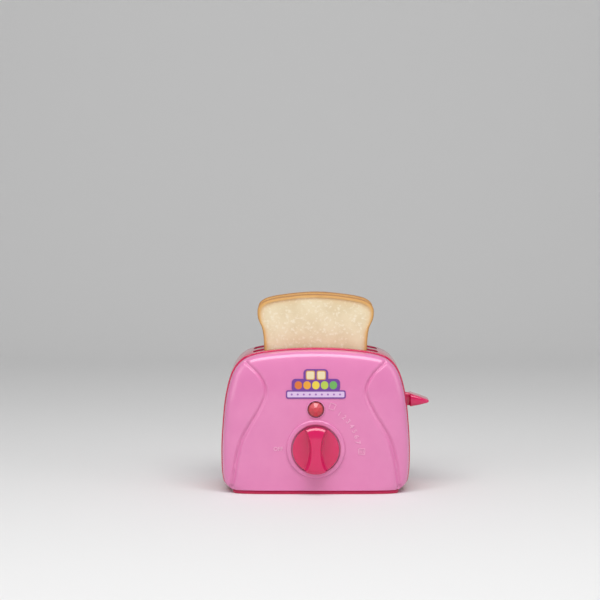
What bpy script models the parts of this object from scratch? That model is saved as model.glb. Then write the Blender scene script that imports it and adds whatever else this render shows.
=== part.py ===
"""Toy two-slot toaster with a wind-up timer, built as separate pieces.

Lengths are in metres and +Z is up. The front faces -Y. The origin is the centre of the flat
underside, so the toaster stands on the plane z = 0.
"""

import math

import bmesh
import bpy
import numpy as np
from mathutils import Matrix, Vector

# Clearances shared by all pieces
GAP = 0.0003
OVERRUN = 0.0010
WELD = 0.000004
SMOOTH_ANGLE = math.radians(38)

# Body shape, seen from the front and from the side
BODY_HALF_WIDTH = 0.0624
BODY_TOP = 0.0957
SHELL_DEPTH = 0.0140
FRAME_HALF_DEPTH = 0.0200
WALL = 0.0020
BASE_THICKNESS = 0.0023
EDGE_POWER = 5.5
OUTLINE_SHARES = (
    (0.905, 0.0), (0.976, 0.050), (1.0, 0.234), (0.986, 0.460), (0.947, 0.685), (0.868, 0.855),
    (0.735, 0.943), (0.45, 0.984), (0.0, 1.0),
)
RING_SHARES = (0.0, 0.12, 0.25, 0.42, 0.60, 0.79, 1.0)
CURVE_STEPS = 2

# Styling groove of each shell, an hourglass line from the shoulder to the foot
GROOVE_RADIUS = 0.0010
GROOVE_SIDES = 5
GROOVE_SHARES = (
    (0.735, 0.918), (0.595, 0.826), (0.529, 0.717), (0.590, 0.595), (0.800, 0.335), (0.893, 0.02),
)
GROOVE_START_SHARES = (-0.3, 0.5)

# Centre frame with its two bread slots
FRAME_PROUD = 0.0010
FRAME_WALL = 0.0022
FRAME_EDGE = 0.0008
SHOULDER = 0.0204
SLOT_END_PLAY = 0.0028
SLOT_SIDE_PLAY = 0.0012
SLOT_CORNER = 0.0025
GUIDE_WALL = 0.0016
GUIDE_DEPTH = 0.0177

# Screws that hold the two shells on the frame
SHELL_SCREW_INSET = 0.0098
SHELL_SCREW_LOW_Z = 0.0190
SHELL_SCREW_DROP = 0.0257
SHELL_BOSS_RADIUS = 0.0038
FRONT_BOSS_RADIUS = 0.0030
SCREW_RADIUS = 0.0012
SCREW_HEAD_RADIUS = 0.0025
SCREW_HEAD_HEIGHT = 0.0018
HEAD_SEAT = 0.0036
THREAD_DEPTH = 0.0070
LUG_THICKNESS = 0.0030
LUG_HALF_HEIGHT = 0.0040

# Base plate, its screws and the battery box
BASE_INSET = 0.0010
BASE_EDGE = 0.0006
BASE_SCREW_INSET = 0.0085
BASE_SCREW_SETBACK = 0.0055
BASE_BOSS_RADIUS = 0.0034
BASE_BOSS_HEIGHT = 0.0110
BASE_HEAD_RECESS = 0.0013
BASE_HEAD_HEIGHT = 0.0008
BASE_SCREW_LENGTH = 0.0080
CELL_RADIUS = 0.0052
CELL_LENGTH = 0.0437
CELL_NUB_LENGTH = 0.0010
CELL_NUB_RADIUS = 0.0019
CELL_CLEARANCE = 0.0004
BOX_SETBACK = 0.0021
BOX_WALL = 0.0014
CONTACT_THICKNESS = 0.0005
CONTACT_ROOM = 0.0030
DOOR_THICKNESS = 0.0016
DOOR_LEDGE = 0.0011
DOOR_TONGUE = 0.0075
DOOR_CORNER = 0.0020
DOOR_EDGE = 0.0003
DOOR_BOSS_RADIUS = 0.0030
DOOR_BOSS_HEIGHT = 0.0080
DOOR_HEAD_RECESS = 0.0010
DOOR_HEAD_HEIGHT = 0.0005
DOOR_SCREW_LENGTH = 0.0050
BATTERY_SPRING_WIRE = 0.00035
BATTERY_SPRING_TURNS = 3

# Guide rods and springs of the bread carriage
ROD_INSET = 0.0010
ROD_RADIUS = 0.0015
ROD_SOCKET_DEPTH = 0.0060
ROD_FOOT = 0.0030
ROD_BOSS_RADIUS = 0.0034
ROD_BOSS_TOP = 0.0090
LIFT_SPRING_PLAY = 0.0008
LIFT_SPRING_WIRE = 0.0004
LIFT_SPRING_TURNS = 7

# Bread carriage, at rest in its raised position
CARRIAGE_TOP = 0.0540
CARRIAGE_THICKNESS = 0.0030
CARRIAGE_TRAVEL = 0.0280
REST_MARGIN = 0.0004
REST_END_MARGIN = 0.0012
END_BAR_IN = 0.0040
END_BAR_OUT = 0.0035
BUSH_RADIUS = 0.0036
BUSH_BELOW = 0.0070
BUSH_ABOVE = 0.0065
ARM_HALF_WIDTH = 0.0020
ARM_HEIGHT = 0.0040
ARM_PEG_RADIUS = 0.0013
ARM_PEG_LENGTH = 0.0090
CATCH_LOW_X = 0.0250
CATCH_LENGTH = 0.0060

# Lever knob on the right side
LEVER_INSIDE = 0.0061
LEVER_STAND = 0.0007
LEVER_REACH = 0.0144
LEVER_RISE = 0.0015
LEVER_ROOT_HALF_HEIGHT = 0.0048
LEVER_NECK_HALF_HEIGHT = 0.0044
LEVER_TIP_HALF_HEIGHT = 0.0011
LEVER_TIP_DROP = 0.0012
LEVER_TONGUE_HALF_WIDTH = 0.0030
LEVER_PAD_HALF_WIDTH = 0.0085
LEVER_TIP_HALF_WIDTH = 0.0060
LEVER_SHOULDER = 0.0004
LEVER_TIP_EDGE = 0.0010
LEVER_SLOT_MARGIN = 0.0006

# Bread slices
BREAD_HEIGHT = 0.0774
BREAD_THICKNESS = 0.0084
BREAD_EDGE = 0.0012
BREAD_SHARES = (
    (0.862, 0.0), (0.885, 0.025), (0.883, 0.55), (0.912, 0.70), (0.988, 0.80), (0.980, 0.893),
    (0.840, 0.947), (0.45, 0.984), (0.0, 1.0),
)

# Timer knob, its ring on the front shell and the shaft behind it
KNOB_Z = 0.0306
KNOB_RADIUS = 0.0154
KNOB_DISC = 0.0026
KNOB_HEIGHT = 0.0110
KNOB_DOME = 0.0016
KNOB_FLOAT = 0.0005
GRIP_HALF_WIDTH = 0.0024
GRIP_END_HALF_WIDTH = 0.0064
GRIP_FLANK = 0.0017
RING_CLEARANCE = 0.0008
RING_WIDTH = 0.0034
RING_HEIGHT = 0.0015
RING_SOFTEN = 0.0005
SHAFT_RADIUS = 0.0022
SHAFT_IN_KNOB = 0.0060
KNOB_WIND = math.radians(95)

# Timer movement between its two plates
PLATE_THICKNESS = 0.0012
PLATE_FRONT_ROOM = 0.0017
PLATE_SPACE = 0.0100
PILLAR_RADIUS = 0.0022
TIMER_SCREW_RADIUS = 0.0009
TIMER_SCREW_HEAD_RADIUS = 0.0019
TIMER_SCREW_HEAD_HEIGHT = 0.0010
TIMER_THREAD = 0.0022
PLATE_REACH = 0.0220
PILLAR_SHARES = ((-1.09, -0.68), (0.59, -0.77), (-0.045, 0.795), (-1.14, 0.73))
PLATE_CORNER_SHARES = (
    (-1.25, -0.82), (0.73, -0.91), (0.91, -0.27), (1.0, 0.60), (1.0, 0.94), (-0.27, 0.94), (-1.30, 0.87),
)
PLATE_CORNER_RADIUS = 0.0020
PLATE_CORNER_STEPS = 3
TOOTH_MODULE = 0.0006
MAIN_TEETH = 36
SECOND_PINION_TEETH = 12
SECOND_TEETH = 30
ESCAPE_PINION_TEETH = 10
SECOND_ANGLE = math.radians(200)
ESCAPE_ANGLE = math.radians(110)
TOOTH_ADDENDUM_SHARE = 0.80
TOOTH_DEDENDUM_SHARE = 1.20
TOOTH_ROOT_SHARE = 0.27
TOOTH_TIP_SHARE = 0.11
GEAR_WIDTH = 0.0016
PINION_WIDTH = 0.0024
ARBOR_RADIUS = 0.0008
ESCAPE_RADIUS = 0.0052
ESCAPE_ROOT_RADIUS = 0.0036
ESCAPE_TEETH = 12
ESCAPE_WIDTH = 0.0012
PALLET_RISE = 0.0086
PALLET_REACH_X = 0.0034
PALLET_REACH_Z = 0.0038
PALLET_ARM_WIDTH = 0.0010
PALLET_HUB_RADIUS = 0.0019
SPRING_STRIP = 0.0003
SPRING_PLAY = 0.0008
SPRING_OUTER = 0.0104
SPRING_TURNS = 4
SPRING_TURN_STEPS = 14
SPRING_WIDTH = 0.0034

# Cam on the shaft and the latch that it swings
LATCH_THICKNESS = 0.0016
LATCH_PIVOT_X = 0.0130
LATCH_PIVOT_RISE = 0.0140
LATCH_SWING = math.radians(12.3)
LATCH_TIP_X = 0.0090
LATCH_TIP_DROP = 0.0010
LATCH_TIP_RADIUS = 0.0012
LATCH_EYE_RADIUS = 0.0024
LATCH_BAR_WIDTH = 0.0030
LATCH_TAIL_LENGTH = 0.0045
LATCH_TAIL_WIDTH = 0.0020
HOOK_BACK = 0.0042
HOOK_BITE = 0.0032
HOOK_HEIGHT = 0.0052
HOOK_LIP = 0.0008
HOOK_PLAY = 0.0007
CAM_DWELL = math.radians(20)
CAM_STEPS = 48
LATCH_PIN_RADIUS = 0.0010
LATCH_PIN_HEAD_RADIUS = 0.0020
LATCH_PIN_HEAD = 0.0005
CAM_CLEARANCE = 0.0004
LATCH_SPRING_RADIUS = 0.0007
LATCH_SPRING_WIRE = 0.0002
LATCH_SPRING_TURNS = 5
LATCH_SPRING_LENGTH = 0.0038
SPRING_POST_RADIUS = 0.0010

# Indicator lens, lamp and circuit board
LENS_RISE = 0.0266
LENS_RADIUS = 0.0053
LENS_DOME = 0.0022
LENS_FLANGE_WIDTH = 0.0010
LENS_FLANGE = 0.0008
LENS_RIM_HEIGHT = 0.0006
LENS_RIM_WIDTH = 0.0010
LAMP_RADIUS = 0.0025
LAMP_LENGTH = 0.0048
LAMP_COLLAR = 0.0004
LAMP_COLLAR_HEIGHT = 0.0010
BOARD_X = 0.0105
BOARD_HALF_HEIGHT = 0.0047
BOARD_THICKNESS = 0.0012
BOARD_STAND_OFF = 0.0082
BOARD_POST_INSET = 0.0019
BOARD_POST_RADIUS = 0.0017
BOARD_SCREW_RADIUS = 0.0007
BOARD_SCREW_HEAD_RADIUS = 0.0014
BOARD_SCREW_HEAD_HEIGHT = 0.0008
BOARD_SCREW_DEPTH = 0.0040

# Sticker above the lens
STICKER_DROP = 0.0117
STICKER_ABOVE_LENS = 0.0019
STICKER_HALF_WIDTH = 0.0205
STICKER_THICKNESS = 0.0003
STICKER_STEPS = 6

SEAM = FRAME_HALF_DEPTH + GAP
BASE_TOP = BASE_THICKNESS + GAP
FACE_Y = SEAM + SHELL_DEPTH
INNER_Y = FACE_Y - WALL
SCREW_HOLE_RADIUS = SCREW_RADIUS + GAP
BASE_SCREW_X = OUTLINE_SHARES[0][0] * BODY_HALF_WIDTH - BASE_SCREW_INSET
BASE_SCREW_Y = FACE_Y - BASE_SCREW_SETBACK
BOX_INSIDE = CELL_RADIUS + CELL_RADIUS + CELL_CLEARANCE + CELL_CLEARANCE
CELL_ROW_CENTRE = INNER_Y - BOX_SETBACK - BOX_WALL - BOX_INSIDE
SLOT_CENTRE = 0.5 * FRAME_HALF_DEPTH
SLOT_HALF_LENGTH = BODY_HALF_WIDTH - SHOULDER
BREAD_HALF_WIDTH = SLOT_HALF_LENGTH - SLOT_END_PLAY
SLOT_WIDTH = BREAD_THICKNESS + SLOT_SIDE_PLAY + SLOT_SIDE_PLAY
GUIDE_BOTTOM = BODY_TOP - GUIDE_DEPTH
ROD_X = SLOT_HALF_LENGTH - ROD_INSET
LIFT_SPRING_RADIUS = ROD_RADIUS + LIFT_SPRING_PLAY + LIFT_SPRING_WIRE
BUSH_LOW = CARRIAGE_TOP - BUSH_BELOW
BUSH_HIGH = CARRIAGE_TOP + BUSH_ABOVE
ARM_CENTRE_Z = BUSH_HIGH - 0.5 * ARM_HEIGHT
LEVER_CENTRE_Z = ARM_CENTRE_Z + LEVER_RISE
LEVER_ROOT_X = BODY_HALF_WIDTH - LEVER_INSIDE
LEVER_NECK_X = BODY_HALF_WIDTH + FRAME_PROUD + LEVER_STAND
LEVER_TIP_X = BODY_HALF_WIDTH + LEVER_REACH
ARM_END = LEVER_ROOT_X - GAP
RING_INNER = KNOB_RADIUS + RING_CLEARANCE
RING_OUTER = RING_INNER + RING_WIDTH
SHAFT_BORE = SHAFT_RADIUS + GAP
ARBOR_BORE = ARBOR_RADIUS + GAP
PLATE_HOLE_RADIUS = TIMER_SCREW_RADIUS + GAP
KNOB_BACK = -FACE_Y - KNOB_FLOAT
KNOB_FRONT = KNOB_BACK - KNOB_HEIGHT
TIMER_FRONT = -INNER_Y + PLATE_FRONT_ROOM
TIMER_BACK = TIMER_FRONT + PLATE_THICKNESS + PLATE_SPACE + PLATE_THICKNESS
LATCH_FRONT = TIMER_BACK + GAP
LATCH_BACK = LATCH_FRONT + LATCH_THICKNESS
MAIN_Y = TIMER_FRONT + PLATE_THICKNESS + GAP + GAP
SECOND_Y = MAIN_Y + PINION_WIDTH
ESCAPE_Y = SECOND_Y + PINION_WIDTH
LENS_Z = KNOB_Z + LENS_RISE
BOARD_FRONT = -INNER_Y + BOARD_STAND_OFF
BOARD_POST_X = BOARD_X - BOARD_POST_INSET
STICKER_LOW = LENS_Z + LENS_RADIUS + STICKER_ABOVE_LENS
STICKER_HIGH = BODY_TOP - STICKER_DROP
PINK = (0.80, 0.27, 0.52, 1.0)
MAGENTA = (0.66, 0.005, 0.09, 1.0)
STEEL = (0.55, 0.56, 0.58, 1.0)
BRASS = (0.72, 0.52, 0.22, 1.0)
WHITE_PLASTIC = (0.78, 0.78, 0.76, 1.0)
TOAST = (0.76, 0.56, 0.30, 1.0)
RED_LENS = (0.55, 0.01, 0.02, 1.0)


def clear_scene():
    for old in list(bpy.data.objects):
        bpy.data.objects.remove(old, do_unlink=True)


def carrier(name, x, y, z):
    """An empty on the axis of a moving body, which that body's pieces hang on."""
    empty = bpy.data.objects.new(name, None)
    empty.location = (x, y, z)
    bpy.context.collection.objects.link(empty)
    return empty


def finish(name, mesh, colour, roughness=0.4, metallic=0.0, parent=None):
    """Put a mesh into the scene as one named piece with its own material."""
    mesh.name = name
    mesh.shade_smooth()
    mesh.set_sharp_from_angle(angle=SMOOTH_ANGLE)
    piece = bpy.data.objects.new(name, mesh)
    bpy.context.collection.objects.link(piece)
    if parent:
        mesh.transform(Matrix.Translation(-parent.location))
        piece.parent = parent
    material = bpy.data.materials.new(name + "_finish")
    material.use_nodes = True
    shader = material.node_tree.nodes["Principled BSDF"]
    shader.inputs["Base Color"].default_value = colour
    shader.inputs["Roughness"].default_value = roughness
    shader.inputs["Metallic"].default_value = metallic
    mesh.materials.clear()
    mesh.materials.append(material)
    return piece


def close_mesh(vertices, faces):
    """A mesh from points and faces, with its normals pointing outwards."""
    mesh = bpy.data.meshes.new("shape")
    mesh.from_pydata([tuple(v) for v in vertices], [], faces)
    work = bmesh.new()
    work.from_mesh(mesh)
    bmesh.ops.recalc_face_normals(work, faces=work.faces)
    work.to_mesh(mesh)
    work.free()
    return mesh


def welded(mesh):
    """The mesh with points that lie on each other made one."""
    work = bmesh.new()
    work.from_mesh(mesh)
    bmesh.ops.remove_doubles(work, verts=work.verts, dist=WELD)
    bmesh.ops.dissolve_degenerate(work, dist=WELD, edges=work.edges)
    bmesh.ops.recalc_face_normals(work, faces=work.faces)
    work.to_mesh(mesh)
    work.free()
    return mesh


def combine(mesh, operation, *cutters):
    """Join cutters to a mesh (UNION) or take them out of it (DIFFERENCE)."""
    body = bpy.data.objects.new("body", mesh)
    bpy.context.collection.objects.link(body)
    tools = []
    for cutter in cutters:
        tool = bpy.data.objects.new("tool", cutter)
        bpy.context.collection.objects.link(tool)
        tools.append(tool)
        modifier = body.modifiers.new("cut", "BOOLEAN")
        modifier.operation = operation
        modifier.object = tool
    depsgraph = bpy.context.evaluated_depsgraph_get()
    result = bpy.data.meshes.new_from_object(body.evaluated_get(depsgraph))
    for spare in tools + [body]:
        bpy.data.objects.remove(spare, do_unlink=True)
    return welded(result)


def join(mesh, *others):
    return combine(mesh, "UNION", *others)


def cut(mesh, *others):
    return combine(mesh, "DIFFERENCE", *others)


def stack(rings, capped=True):
    """Skin over rings of equal point counts, each ring closed, and cap both ends."""
    count = len(rings[0])
    vertices = [point for ring in rings for point in ring]
    faces = []
    for k in range(len(rings) - 1):
        for j in range(count):
            a = k * count + j
            b = k * count + (j + 1) % count
            faces.append((a, b, b + count, a + count))
    if capped:
        faces.append(tuple(range(count)))
        faces.append(tuple(range((len(rings) - 1) * count, len(rings) * count)))
    return close_mesh(vertices, faces)


def inset(points, distance):
    """Move each point of a counter-clockwise outline inwards by a distance."""
    moved = []
    count = len(points)
    for j in range(count):
        before = Vector(points[j]) - Vector(points[j - 1])
        after = Vector(points[(j + 1) % count]) - Vector(points[j])
        normals = [Vector((-d.y, d.x)).normalized() for d in (before, after)]
        middle = (normals[0] + normals[1]).normalized()
        moved.append(Vector(points[j]) + middle * (distance / max(0.5, middle.dot(normals[0]))))
    return [(p.x, p.y) for p in moved]


def plate_y(outline, y_low, y_high, edge=0.0):
    """An outline in x and z, thick along y, with its two rims softened by edge."""
    levels = [(y_low, edge), (y_low + edge, 0.0), (y_high - edge, 0.0), (y_high, edge)]
    if not edge:
        levels = [(y_low, 0.0), (y_high, 0.0)]
    return stack([[(x, y, z) for x, z in (inset(outline, d) if d else outline)] for y, d in levels])


def plate_z(outline, z_low, z_high, edge=0.0):
    """An outline in x and y, thick along z, with its two rims softened by edge."""
    levels = [(z_low, edge), (z_low + edge, 0.0), (z_high - edge, 0.0), (z_high, edge)]
    if not edge:
        levels = [(z_low, 0.0), (z_high, 0.0)]
    return stack([[(x, y, z) for x, y in (inset(outline, d) if d else outline)] for z, d in levels])


def block(low, high):
    corners = [(low[0], low[1]), (high[0], low[1]), (high[0], high[1]), (low[0], high[1])]
    return plate_z(corners, low[2], high[2])


def rounded_rectangle(x_low, y_low, x_high, y_high, radius, steps=4):
    """A rectangle's outline with round corners, counter-clockwise."""
    points = []
    centres = (
        (x_high - radius, y_high - radius, 0), (x_low + radius, y_high - radius, 1),
        (x_low + radius, y_low + radius, 2), (x_high - radius, y_low + radius, 3),
    )
    for cx, cy, quarter in centres:
        for k in range(steps + 1):
            angle = (quarter + k / steps) * math.pi / 2
            points.append((cx + radius * math.cos(angle), cy + radius * math.sin(angle)))
    return points


def turned(profile, centre, axis, sides=24):
    """Turn a profile of (radius, height) about an axis through a centre.

    A profile that starts and ends at radius 0 gives a solid, and any other a ring.
    """
    directions = {"X": Vector((1, 0, 0)), "Y": Vector((0, 1, 0)), "Z": Vector((0, 0, 1))}
    along = directions[axis]
    across = directions["Z"] if axis != "Z" else directions["X"]
    third = along.cross(across)
    vertices, rings = [], []
    for radius, height in profile:
        base = Vector(centre) + along * height
        if radius == 0:
            rings.append([len(vertices)] * sides)
            vertices.append(base)
            continue
        rings.append(list(range(len(vertices), len(vertices) + sides)))
        for k in range(sides):
            angle = 2 * math.pi * k / sides
            vertices.append(base + (across * math.cos(angle) + third * math.sin(angle)) * radius)
    faces = []
    closed = profile[0][0] != 0
    for k in range(len(rings) if closed else len(rings) - 1):
        first, second = rings[k], rings[(k + 1) % len(rings)]
        for j in range(sides):
            corners = (first[j], first[(j + 1) % sides], second[(j + 1) % sides], second[j])
            faces.append(tuple(dict.fromkeys(corners)))
    return close_mesh(vertices, faces)


def rod(radius, start, end, centre, axis, sides=16):
    """A plain round bar from start to end along an axis."""
    return turned([(0, start), (radius, start), (radius, end), (0, end)], centre, axis, sides)


def tube_along(points, radius, sides):
    """A closed round tube through points, with flat ends."""
    points = [Vector(p) for p in points]
    tangents = []
    for k in range(len(points)):
        ahead = points[min(k + 1, len(points) - 1)]
        behind = points[max(k - 1, 0)]
        tangents.append((ahead - behind).normalized())
    side = tangents[0].orthogonal().normalized()
    rings = []
    for point, tangent in zip(points, tangents):
        side = (side - tangent * side.dot(tangent)).normalized()
        other = tangent.cross(side)
        ring = []
        for j in range(sides):
            angle = 2 * math.pi * j / sides
            ring.append(point + (side * math.cos(angle) + other * math.sin(angle)) * radius)
        rings.append(ring)
    return stack(rings)


def coil(radius, wire, length, turns, centre, axis, steps=8, sides=3, way=1):
    """A helical spring that starts at centre and runs along an axis, forwards or (way -1) backwards."""
    points = []
    for k in range(turns * steps + 1):
        share = k / (turns * steps)
        angle = 2 * math.pi * turns * share
        along = way * (wire + (length - wire - wire) * share)
        a, b = radius * math.cos(angle), radius * math.sin(angle)
        local = {"X": (along, a, b), "Y": (a, along, b), "Z": (a, b, along)}[axis]
        points.append(Vector(centre) + Vector(local))
    return tube_along(points, wire, sides)


def smooth_curve(points):
    """A smooth curve through the given points, with CURVE_STEPS steps from each to the next."""
    points = [np.array(p, dtype=float) for p in points]
    lengths = [float(np.linalg.norm(b - a)) for a, b in zip(points, points[1:])]
    slopes = [(points[1] - points[0]) / lengths[0]]
    for k in range(1, len(points) - 1):
        slopes.append((points[k + 1] - points[k - 1]) / (lengths[k - 1] + lengths[k]))
    slopes.append((points[-1] - points[-2]) / lengths[-1])
    result = []
    for k, length in enumerate(lengths):
        for step in range(CURVE_STEPS):
            t = step / CURVE_STEPS
            near = (1 + t + t) * (1 - t) ** 2
            bend = slopes[k] * t * (1 - t) ** 2 - slopes[k + 1] * (1 - t) * t ** 2
            result.append(points[k] * near + points[k + 1] * (1 - near) + bend * length)
    result.append(points[-1])
    return [tuple(float(v) for v in p) for p in result]


def mirrored(shares, half_width, bottom, height):
    """A smooth outline from its right foot over the top to its left foot, in x and z."""
    right = [(x * half_width, bottom + z * height) for x, z in shares]
    return smooth_curve(right + [(-x, z) for x, z in reversed(right[:-1])])


def arch(offset=0.0):
    """The body's outline from foot to foot, in x and z, grown by offset."""
    points = mirrored(OUTLINE_SHARES, BODY_HALF_WIDTH, BASE_TOP, BODY_TOP - BASE_TOP)
    if not offset:
        return points
    grown = inset(points, -offset)
    slope = (points[1][0] - points[0][0]) / (points[1][1] - points[0][1])
    foot = points[0][0] + offset * math.hypot(1, slope)
    grown[0], grown[-1] = (foot, BASE_TOP), (-foot, BASE_TOP)
    return grown


def ring_levels(depth):
    """Share of the outline and depth at each ring of a shell, from seam to face."""
    levels = []
    for share in RING_SHARES:
        angle = share * math.pi / 2
        across = max(0.0, math.cos(angle)) ** (2 / EDGE_POWER)
        levels.append((across if share < 1 else 0.0, depth * math.sin(angle) ** (2 / EDGE_POWER)))
    return levels


def outline_share(x, z, offset=0.0):
    """How far a point lies from the foot's centre towards the body's outline, as a share."""
    points = arch(offset)
    target = (x, z - BASE_TOP)
    for a, b in zip(points, points[1:]):
        p, q = (a[0], a[1] - BASE_TOP), (b[0], b[1] - BASE_TOP)
        edge = (q[0] - p[0], q[1] - p[1])
        area = target[0] * edge[1] - target[1] * edge[0]
        if not area:
            continue
        scale = (p[0] * edge[1] - p[1] * edge[0]) / area
        along = (p[0] * target[1] - p[1] * target[0]) / area
        if scale > 0 and 0 <= along <= 1:
            return 1 / scale
    return 0.0


def face_depth(x, z, depth=SHELL_DEPTH, offset=0.0):
    """How far the shell's surface lies in front of the seam at a point."""
    share = min(1.0, outline_share(x, z, offset))
    return depth * (1 - share ** EDGE_POWER) ** (1 / EDGE_POWER)


def half_width(z, offset=0.0):
    """Half the body's width at a height."""
    points = arch(offset)
    for a, b in zip(points, points[1:]):
        if a[1] <= z <= b[1]:
            return a[0] + (b[0] - a[0]) * (z - a[1]) / (b[1] - a[1])
    return points[0][0]


def shell_body(side):
    """The bare dished shell, open at its seam and at its foot. side is -1 for the front."""
    outer, inner = arch(), arch(-WALL)
    count = len(outer)
    vertices, faces = [], []
    for outline, depth in ((outer, SHELL_DEPTH), (inner, SHELL_DEPTH - WALL)):
        for share, forward in ring_levels(depth):
            for x, z in outline:
                vertices.append((x * share, side * (SEAM + forward), BASE_TOP + (z - BASE_TOP) * share))
    rings = len(RING_SHARES)
    for layer in range(2):
        start = layer * rings * count
        for k in range(rings - 1):
            for j in range(count - 1):
                a = start + k * count + j
                faces.append((a, a + 1, a + 1 + count, a + count))
    behind = rings * count
    for j in range(count - 1):
        faces.append((j, j + 1, behind + j + 1, behind + j))
    for k in range(rings - 1):
        for j in (0, count - 1):
            a = k * count + j
            faces.append((a, a + count, behind + a + count, behind + a))
    mesh = bpy.data.meshes.new("shell")
    mesh.from_pydata(vertices, [], faces)
    return welded(mesh)


def groove_tool(side, hand):
    """The cutter of one hourglass groove, running on the shell's surface."""
    height = BODY_TOP - BASE_TOP
    path = smooth_curve([(x * BODY_HALF_WIDTH, BASE_TOP + z * height) for x, z in GROOVE_SHARES])
    x, z = path[0]
    points = [(hand * x, side * (SEAM + share * face_depth(x, z)), z) for share in GROOVE_START_SHARES]
    for x, z in path:
        points.append((hand * x, side * (SEAM + face_depth(x, z)), z))
    last = points[-1]
    points.append((last[0], last[1], BASE_TOP - OVERRUN))
    return tube_along(points, GROOVE_RADIUS, GROOVE_SIDES)


def boss_end(x, z, radius):
    """Where a boss on the shell's inside ends, half-way into the wall."""
    return SEAM + face_depth(abs(x) + radius, z + radius) - 0.5 * WALL


def screw_places():
    """The four shell screws, in x and z."""
    heights = (SHELL_SCREW_LOW_Z, BODY_TOP - SHELL_SCREW_DROP)
    return [(hand * (half_width(z) - SHELL_SCREW_INSET), z) for z in heights for hand in (-1, 1)]


def base_bosses(side):
    """Vertical bosses inside a shell, which take the base plate's screws."""
    bosses, holes = [], []
    for hand in (-1, 1):
        centre = (hand * BASE_SCREW_X, side * BASE_SCREW_Y, 0)
        top = BASE_TOP + BASE_BOSS_HEIGHT
        bosses.append(rod(BASE_BOSS_RADIUS, BASE_TOP, top, centre, "Z", 8))
        holes.append(rod(SCREW_HOLE_RADIUS, BASE_TOP - OVERRUN, top - WALL, centre, "Z", 8))
    return bosses, holes


def front_shell():
    """Front shell with knob ring, lens rim, bosses for the timer and for the lamp board."""
    body = shell_body(-1)
    face = -FACE_Y
    bosses, holes = base_bosses(-1)
    for x, z in screw_places():
        end = -boss_end(x, z, FRONT_BOSS_RADIUS)
        bosses.append(rod(FRONT_BOSS_RADIUS, end, -SEAM, (x, 0, z), "Y", 8))
        holes.append(rod(SCREW_HOLE_RADIUS, end + WALL, -SEAM + OVERRUN, (x, 0, z), "Y", 8))
    for x, z in pillars():
        place = (x, 0, z)
        tip = TIMER_FRONT - GAP
        bosses.append(rod(PILLAR_RADIUS, -INNER_Y - 0.5 * WALL, tip, place, "Y", 8))
        holes.append(rod(PLATE_HOLE_RADIUS, tip - TIMER_THREAD, tip + OVERRUN, place, "Y", 8))
    for hand in (-1, 1):
        place = (hand * BOARD_POST_X, 0, LENS_Z)
        tip = BOARD_FRONT - GAP
        bosses.append(rod(BOARD_POST_RADIUS, -INNER_Y - 0.5 * WALL, tip, place, "Y", 8))
        holes.append(rod(BOARD_SCREW_RADIUS + GAP, tip - BOARD_SCREW_DEPTH, tip + OVERRUN, place, "Y", 8))
    ring = [
        (RING_INNER, 0.6 * WALL), (RING_INNER, -RING_HEIGHT + RING_SOFTEN),
        (RING_INNER + RING_SOFTEN, -RING_HEIGHT), (RING_OUTER - RING_SOFTEN - RING_SOFTEN, -RING_HEIGHT),
        (RING_OUTER, -RING_SOFTEN), (RING_OUTER, 0.6 * WALL),
    ]
    bosses.append(turned(ring, (0, face, KNOB_Z), "Y", 32))
    rim = [
        (0, -LENS_RIM_HEIGHT), (LENS_RADIUS + 0.6 * LENS_RIM_WIDTH, -LENS_RIM_HEIGHT),
        (LENS_RADIUS + LENS_RIM_WIDTH, 0.6 * WALL), (0, 0.6 * WALL),
    ]
    bosses.append(turned(rim, (0, face, LENS_Z), "Y", 20))
    holes.append(rod(SHAFT_BORE, -OVERRUN, WALL + OVERRUN, (0, face, KNOB_Z), "Y", 16))
    lens_hole = LENS_RADIUS + GAP
    holes.append(rod(lens_hole, -OVERRUN - LENS_RIM_HEIGHT, WALL + OVERRUN, (0, face, LENS_Z), "Y", 20))
    body = join(body, *bosses)
    body = cut(body, *holes, groove_tool(-1, -1), groove_tool(-1, 1))
    finish("front_shell", body, PINK, 0.25)


def rear_shell():
    """Rear shell with the wells for the four long screws."""
    body = shell_body(1)
    bosses, holes = base_bosses(1)
    for x, z in screw_places():
        end = boss_end(x, z, SHELL_BOSS_RADIUS)
        bosses.append(rod(SHELL_BOSS_RADIUS, SEAM, end, (x, 0, z), "Y", 10))
        holes.append(rod(SCREW_HOLE_RADIUS, SEAM - OVERRUN, FACE_Y, (x, 0, z), "Y", 8))
        well = SCREW_HEAD_RADIUS + GAP
        holes.append(rod(well, SEAM + HEAD_SEAT, FACE_Y + OVERRUN, (x, 0, z), "Y", 10))
    body = join(body, *bosses)
    body = cut(body, *holes, groove_tool(1, -1), groove_tool(1, 1))
    finish("rear_shell", body, PINK, 0.25)


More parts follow.
